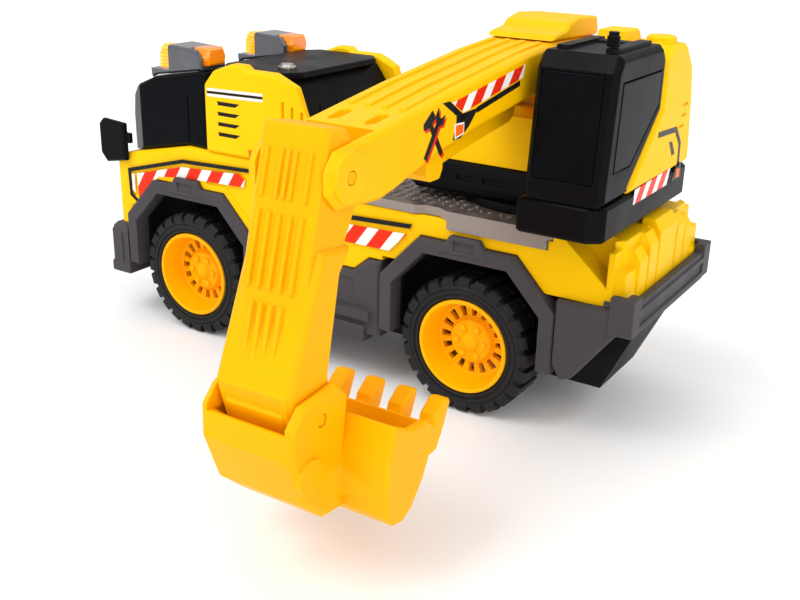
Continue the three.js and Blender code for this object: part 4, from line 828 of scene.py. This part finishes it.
def rim_mesh():
    """The deep dish with its slotted web, hub disc and wheel nuts; its lip faces up, at z = 0."""
    bm = bmesh.new()
    turned(bm, [(max(r, 0.001), -depth) for r, depth in RIM_PROFILE], 128)
    bmesh.ops.remove_doubles(bm, verts=bm.verts, dist=0.002 * MM)
    bmesh.ops.dissolve_degenerate(bm, edges=bm.edges, dist=0.001 * MM)
    bmesh.ops.recalc_face_normals(bm, faces=bm.faces)
    mesh = bpy.data.meshes.new("dish")
    bm.to_mesh(mesh)
    bm.free()
    dish = link("dish", mesh)

    def slot(bm):
        sides = [(-2.5, -1.1), (2.3, -1.6), (2.3, 1.6), (-2.5, 1.1)]
        low = [bm.verts.new((x * MM, y * MM, -(WEB_DEPTH + 6) * MM)) for x, y in sides]
        high = [bm.verts.new((x * MM, y * MM, -(WEB_DEPTH - 6) * MM)) for x, y in sides]
        close_prism(bm, low, high)

    cutter = ring_of(rounded(slot, "slot", 0.5), SLOT_COUNT, SLOT_CIRCLE, stick_abs)
    bite = dish.modifiers.new("slots", "BOOLEAN")
    bite.object = cutter
    bite.operation = "DIFFERENCE"
    bite.solver = "EXACT"
    cut = baked(dish, "cut_dish")
    bpy.data.objects.remove(cutter)

    def nut(bm):
        steps = [math.pi * i / 3 for i in range(6)]
        ring = [(NUT_RADIUS * math.cos(a), NUT_RADIUS * math.sin(a)) for a in steps]
        low = [bm.verts.new((x * MM, y * MM, -(HUB_DEPTH + 0.5) * MM)) for x, y in ring]
        high = [bm.verts.new((x * MM, y * MM, -(HUB_DEPTH - 1.3) * MM)) for x, y in ring]
        close_prism(bm, low, high)

    nuts = ring_of(rounded(nut, "nut", 0.3), NUT_COUNT, NUT_CIRCLE, stick_abs)
    return shaded(joined("rim", [cut, nuts]), 28)


def wheels():
    tyre, rim = tyre_mesh(), rim_mesh()
    lip = middle("rear_left_tyre").y - TYRE_WIDTH / 2 * MM
    lip_out = origin.y - lip
    for axle, x in (("front", FRONT_AXLE), ("rear", 0.0)):
        for side, sign in SIDES:
            # The wheel's outer face, up in its own mesh, turns to face away from the truck.
            turn = Matrix.Rotation(math.radians(-90 * sign), 4, "X")
            hub = Vector((origin.x + x * MM, origin.y + sign * lip_out, AXLE_Z * MM))
            for mesh, kind, finish, back in (
                (tyre, "tyre", tyre_pvc, TYRE_WIDTH / 2),
                (rim, "rim", stick_abs, 0),
            ):
                shape = mesh.data.copy()
                place = hub - Vector((0, sign * back * MM, 0))
                shape.transform(Matrix.Translation(place) @ turn)
                node = f"{axle}_{side}_{kind}"
                slot = "tyre_rubber" if kind == "tyre" else "yellow_plastic"
                piece = link("wheel_" + node, shape)
                finish_piece(piece, axle + "_wheels", finish, node, slot=slot)
    bpy.data.objects.remove(tyre)
    bpy.data.objects.remove(rim)


wheels()

# ---- Printed films -------------------------------------------------------------------------------
FILM = 0.14
BODY_SIDE = (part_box("cab_body")[1].y - origin.y) / MM
PANEL_SIDE = (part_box("cab_left_panel")[0].y - origin.y) / -MM
HOUSING_SIDE = (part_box("turret_housing")[1].x - origin.x) / MM


def film(name, body, axis, face, outline, finish, out=1, thick=FILM):
    """A thin sticker on a flat face across an axis: x takes (y, z) points and y takes (x, z)."""
    bm = bmesh.new()
    rings = []
    for depth in (face - 0.05 * out, face + thick * out):
        if axis == "x":
            rings.append([bm.verts.new(at(depth, u, v)) for u, v in outline])
        else:
            rings.append([bm.verts.new(at(u, depth, v)) for u, v in outline])
    close_prism(bm, *rings)
    mesh = bpy.data.meshes.new(name)
    bm.to_mesh(mesh)
    bm.free()
    finish_piece(link(name, mesh), body, finish)


def band(points, width):
    """The outline of a stripe of a width that follows a line of points."""
    lines = [Vector(p) for p in points]
    left, right = [], []
    for i, here in enumerate(lines):
        before = (here - lines[i - 1]).normalized() if i else None
        after = (lines[i + 1] - here).normalized() if i + 1 < len(lines) else None
        run = ((before or after) + (after or before)).normalized()
        across = Vector((-run.y, run.x))
        stretch = 1 / max(0.5, across.dot(Vector((-(after or before).y, (after or before).x))))
        left.append(here + across * width / 2 * stretch)
        right.append(here - across * width / 2 * stretch)
    return [tuple(p) for p in left + right[::-1]]


sill_hazard = hazard_film("sill_hazard_printed_film", (1, 0, 0), 0.62, 13.6, 0.15)
side_hazard = hazard_film("side_hazard_printed_film", (1, 0, 0), 0.75, 13.2, 0.3)
arm_hazard = hazard_film("arm_hazard_printed_film", (0, 1, 0), 0.8, 12.4, 0.2)

SILL_LINE = [(-189, 61.6), (-197.2, 67), (-197.6, 79.8), (-160.3, 89.7), (-118, 91.4)]
SILL_BAND = [
    (-191.8, 66.5),
    (-192.2, 78.7),
    (-161.2, 86.7),
    (-124.2, 88.9),
    (-120.5, 86.5),
    (-121.4, 82.9),
    (-161, 81.4),
    (-177.2, 79.4),
    (-187.9, 66.3),
]
for side, sign in SIDES:
    face = sign * BODY_SIDE
    film(f"{side}_sill_line", "truck", "y", face, band(SILL_LINE, 1.9), black_ink, sign)
    film(f"{side}_sill_hazard", "truck", "y", face, SILL_BAND, sill_hazard, sign)
    badge = [(-196, 69.5), (-196, 77.8), (-194.2, 78.4), (-194, 68.2)]
    film(f"{side}_sill_badge", "truck", "y", face, badge, white_ink, sign)
    stripe = [(-78.5, 77.4), (-78.5, 79.6), (-27, 82), (-28, 79.9)]
    film(f"{side}_body_stripe", "truck", "y", face, stripe, black_ink, sign)
    patch = [(-78, 67.5), (-78, 75.4), (-29.5, 77.2), (-38.7, 67.8)]
    film(f"{side}_body_hazard", "truck", "y", face, patch, side_hazard, sign)
    panel = sign * PANEL_SIDE
    for part, z in (("upper", 127.6), ("lower", 125.0)):
        line = band([(-141.5, z - 0.4), (-108, z + 0.5)], 1.25)
        film(f"{side}_panel_{part}_line", "truck", "y", panel, line, white_ink, sign)
    dark = band([(-141.5, 125.9), (-108, 126.8)], 1.1)
    film(f"{side}_panel_dark_line", "truck", "y", panel, dark, black_ink, sign)
    marker = [(-116.4, 97.9), (-117, 101.7), (-111.2, 102), (-111.6, 98.2)]
    film(f"{side}_panel_marker", "truck", "y", panel, marker, orange_ink, sign, 0.5)


LOUVRE_COUNT = 4
LOUVRE_FIRST = 105.7
LOUVRE_PITCH = 4.85
LOUVRE_DEPTH = 1.55


def louvre_painted_shade(side, sign):
    """Black strips at the bottom of the cab panel's louvres: painted shade inside the slots."""
    for i in range(LOUVRE_COUNT):
        low = LOUVRE_FIRST + LOUVRE_PITCH * i - 0.1
        slot = [(-135.9, low), (-124.8, low), (-122.4, low + 2), (-135.9, low + 2)]
        depth = sign * (PANEL_SIDE - LOUVRE_DEPTH)
        # The strips use the black print film but stand for the shade inside each slot: painted
        # shade.
        film(f"{side}_louvre_{i + 1}", "truck", "y", depth, slot, black_ink, sign, 1.0)


for side, sign in SIDES:
    louvre_painted_shade(side, sign)

# The sticker on each side of the boom: a hazard strip, a bent line and a crossed-tools sign.
BOOM_HALF = 15
BOOM_STRIP = [(-110.6, 150.2), (-57.4, 156.8), (-58.6, 152.2), (-102.6, 145.9)]
BOOM_LINE = [(-60.8, 150.4), (-93.4, 145.3)]
BOOM_PATCH = [
    (-117, 151),
    (-112.4, 151),
    (-103.4, 145.6),
    (-92.4, 146),
    (-98.9, 140.4),
    (-104.4, 137.4),
    (-109.4, 137.4),
    (-107.4, 142.6),
    (-107.4, 145.4),
]
# A plain hammer and a plain spanner, each along its own handle, crossed at one point.
HAMMER = [(-9, -1), (4, -1), (4, -3.6), (7.4, -3.6), (7.4, 3), (5.6, 4), (4, 1), (-9, 1)]
SPANNER = [(-9, -1), (3.6, -1), (5, -2.8), (8.4, -2.6), (6.2, -0.9)]
SPANNER += [(u, -v) for u, v in reversed(SPANNER)]
CROSSING = Vector((-122, 141.5))


def crossed(tool, degrees, shift=0.0):
    """A tool's outline turned about the crossing, and shifted down and along for its shadow."""
    turn = Matrix.Rotation(math.radians(degrees), 2)
    place = CROSSING + Vector((shift, -shift))
    return [tuple(turn @ Vector(point) + place) for point in tool]


for side, sign in SIDES:
    face = TURRET_X + sign * BOOM_HALF
    film(f"boom_{side}_hazard", "boom", "x", face, BOOM_STRIP, arm_hazard, sign)
    film(f"boom_{side}_line", "boom", "x", face, band(BOOM_LINE, 2.0), black_ink, sign)
    film(f"boom_{side}_patch", "boom", "x", face, BOOM_PATCH, black_ink, sign)
    for name, tool, degrees, thick in (("hammer", HAMMER, 125, 1.3), ("spanner", SPANNER, 55, 1.6)):
        shade, shape = crossed(tool, degrees, 1.0), crossed(tool, degrees)
        under = FILM * thick - 0.04
        film(f"boom_{side}_{name}_shade", "boom", "x", face, shade, red_ink, sign, under)
        film(f"boom_{side}_{name}", "boom", "x", face, shape, black_ink, sign, FILM * thick)
    rim_plate = [(-108.4, 137.6), (-108.6, 142.9), (-102.2, 142.6), (-102.2, 138.6)]
    film(f"boom_{side}_marker_rim", "boom", "x", face, rim_plate, white_ink, sign, FILM * 1.6)
    sign_plate = [(-107.8, 138.3), (-107.9, 142.2), (-102.8, 142), (-102.8, 139.1)]
    film(f"boom_{side}_marker", "boom", "x", face, sign_plate, orange_ink, sign, FILM * 2.2)

# The operator's side of the turret.
film(
    "housing_hazard",
    "turret",
    "x",
    HOUSING_SIDE,
    [(-34.2, 104.3), (-33.6, 110.2), (6.6, 111), (3.8, 104.3)],
    arm_hazard,
)
CAB_LINE = [(-13, 128), (8.4, 126.8), (15.4, 119.8), (16.4, 109.6)]
film("housing_line", "turret", "x", HOUSING_SIDE, band(CAB_LINE, 2.3), black_ink)
CAB_LINE_FOOT = [(9.4, 104.3), (15.3, 111.6), (17.5, 111.6), (20.4, 110.4), (21.4, 104.3)]
film("housing_shoe", "turret", "x", HOUSING_SIDE, CAB_LINE_FOOT, black_ink)
film(
    "housing_dash",
    "turret",
    "x",
    HOUSING_SIDE,
    [(1.5, 122.6), (4.8, 122.4), (9.8, 116.6), (6.7, 116.0)],
    black_ink,
)
film(
    "housing_marker",
    "turret",
    "x",
    HOUSING_SIDE,
    [(14.2, 105), (14.6, 109), (18.6, 108.6), (19.2, 105)],
    orange_ink,
    thick=0.3,
)
